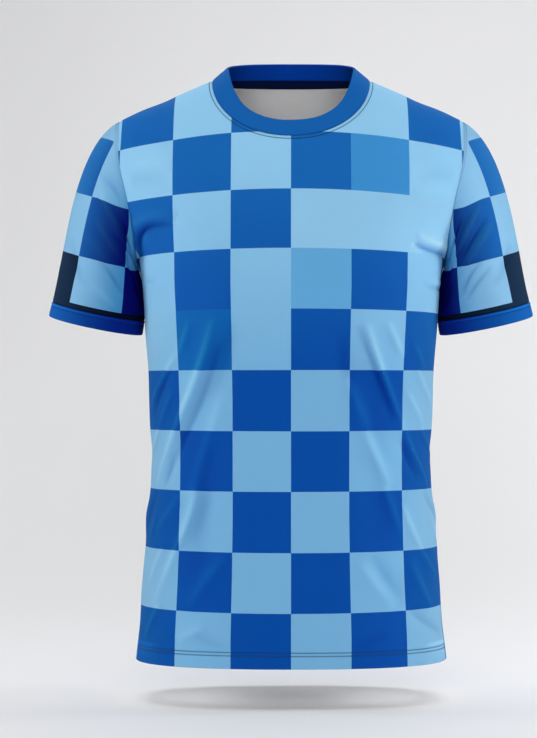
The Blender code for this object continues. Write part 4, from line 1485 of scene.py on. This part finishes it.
def addCamera():
    data = bpy.data.cameras.new("camera")
    data.lens, data.sensor_width = studio["lens"], studio["sensor"]
    data.shift_x, data.shift_y = studio["shift"]
    data.clip_end = 30.0
    camera = addObject("camera", data)
    camera.location = studio["camera"]
    camera.rotation_euler = (np.pi / 2, 0.0, 0.0)
    bpy.context.scene.camera = camera


studioFloor = makeStage()
addCamera()
lights = {  # place, aim, size, power
    "rimLeft": ((-2.2, 0.3, -0.4), (0.0, 0.0, -0.4), (0.45, 1.1), 29.0),
    "rimRight": ((2.2, 0.3, -0.4), (0.0, 0.0, -0.4), (0.45, 1.1), 34.0),
    "overhead": ((0.0, -0.25, 1.7), (0.0, 0.0, -0.4), (3.0, 2.2), 34.0),
    "fill": ((0.0, -3.4, 0.3), (0.0, 0.0, -0.4), (2.4, 1.6), 69.0),
    "backdrop": ((0.0, 0.7, 1.5), (0.0, 3.0, 1.1), (3.6, 0.8), 16.5),
    "behind": ((0.0, 0.42, 0.3), (0.0, 0.2, -0.74), (1.2, 0.3), 3.0),
    "underLeft": ((-0.135, 0.0, -0.665), (-0.135, 0.0, -0.74), (0.11, 0.15), 0.034),
    "underRight": ((0.135, 0.0, -0.665), (0.135, 0.0, -0.74), (0.11, 0.15), 0.034),
}
for name, (place, aim, size, power) in lights.items():
    addLight(name, place, aim, size, power)
world = bpy.data.worlds.new("studio")
world.use_nodes = True
sky = world.node_tree.nodes["Background"].inputs
sky["Color"].default_value = studio["sky"]
sky["Strength"].default_value = studio["skyLight"]
bpy.context.scene.world = world
bpy.context.scene.view_settings.view_transform = "Standard"
print("set the studio")

pieces = (  # piece, its materials if it has none yet, the nodes it replaces, slot
    (frontCloth, (bodyFront, reverse), ("front_panel",), "printed_jersey"),
    (backCloth, (bodyBack, reverse), ("back_panel",), "printed_jersey"),
    (leftSleeve, (sleevePrint, reverse), ("left_sleeve",), "printed_jersey"),
    (rightSleeve, (sleevePrint, reverse), ("right_sleeve",), "printed_jersey"),
    (leftCuff, (cuffBlue,), ("left_cuff",), "blue_band"),
    (rightCuff, (cuffBlue,), ("right_cuff",), "blue_band"),
    (collarCloth, (collarBlue, collarInsideShaded), ("collar_band",), "blue_band"),
    (tapeCloth, (tapeNavy,), ("neck_tape",), "navy_tape"),
    (hemStitches, (), (), "printed_jersey"),
    (neckStitches, (), (), "printed_jersey"),
    (leftCuffStitches, (), (), "blue_band"),
    (rightCuffStitches, (), (), "blue_band"),
)
for piece, materials, nodes, slot in pieces:
    for material in materials:
        piece.data.materials.append(material)
    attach(piece, "root")
    if nodes:
        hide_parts(*nodes)
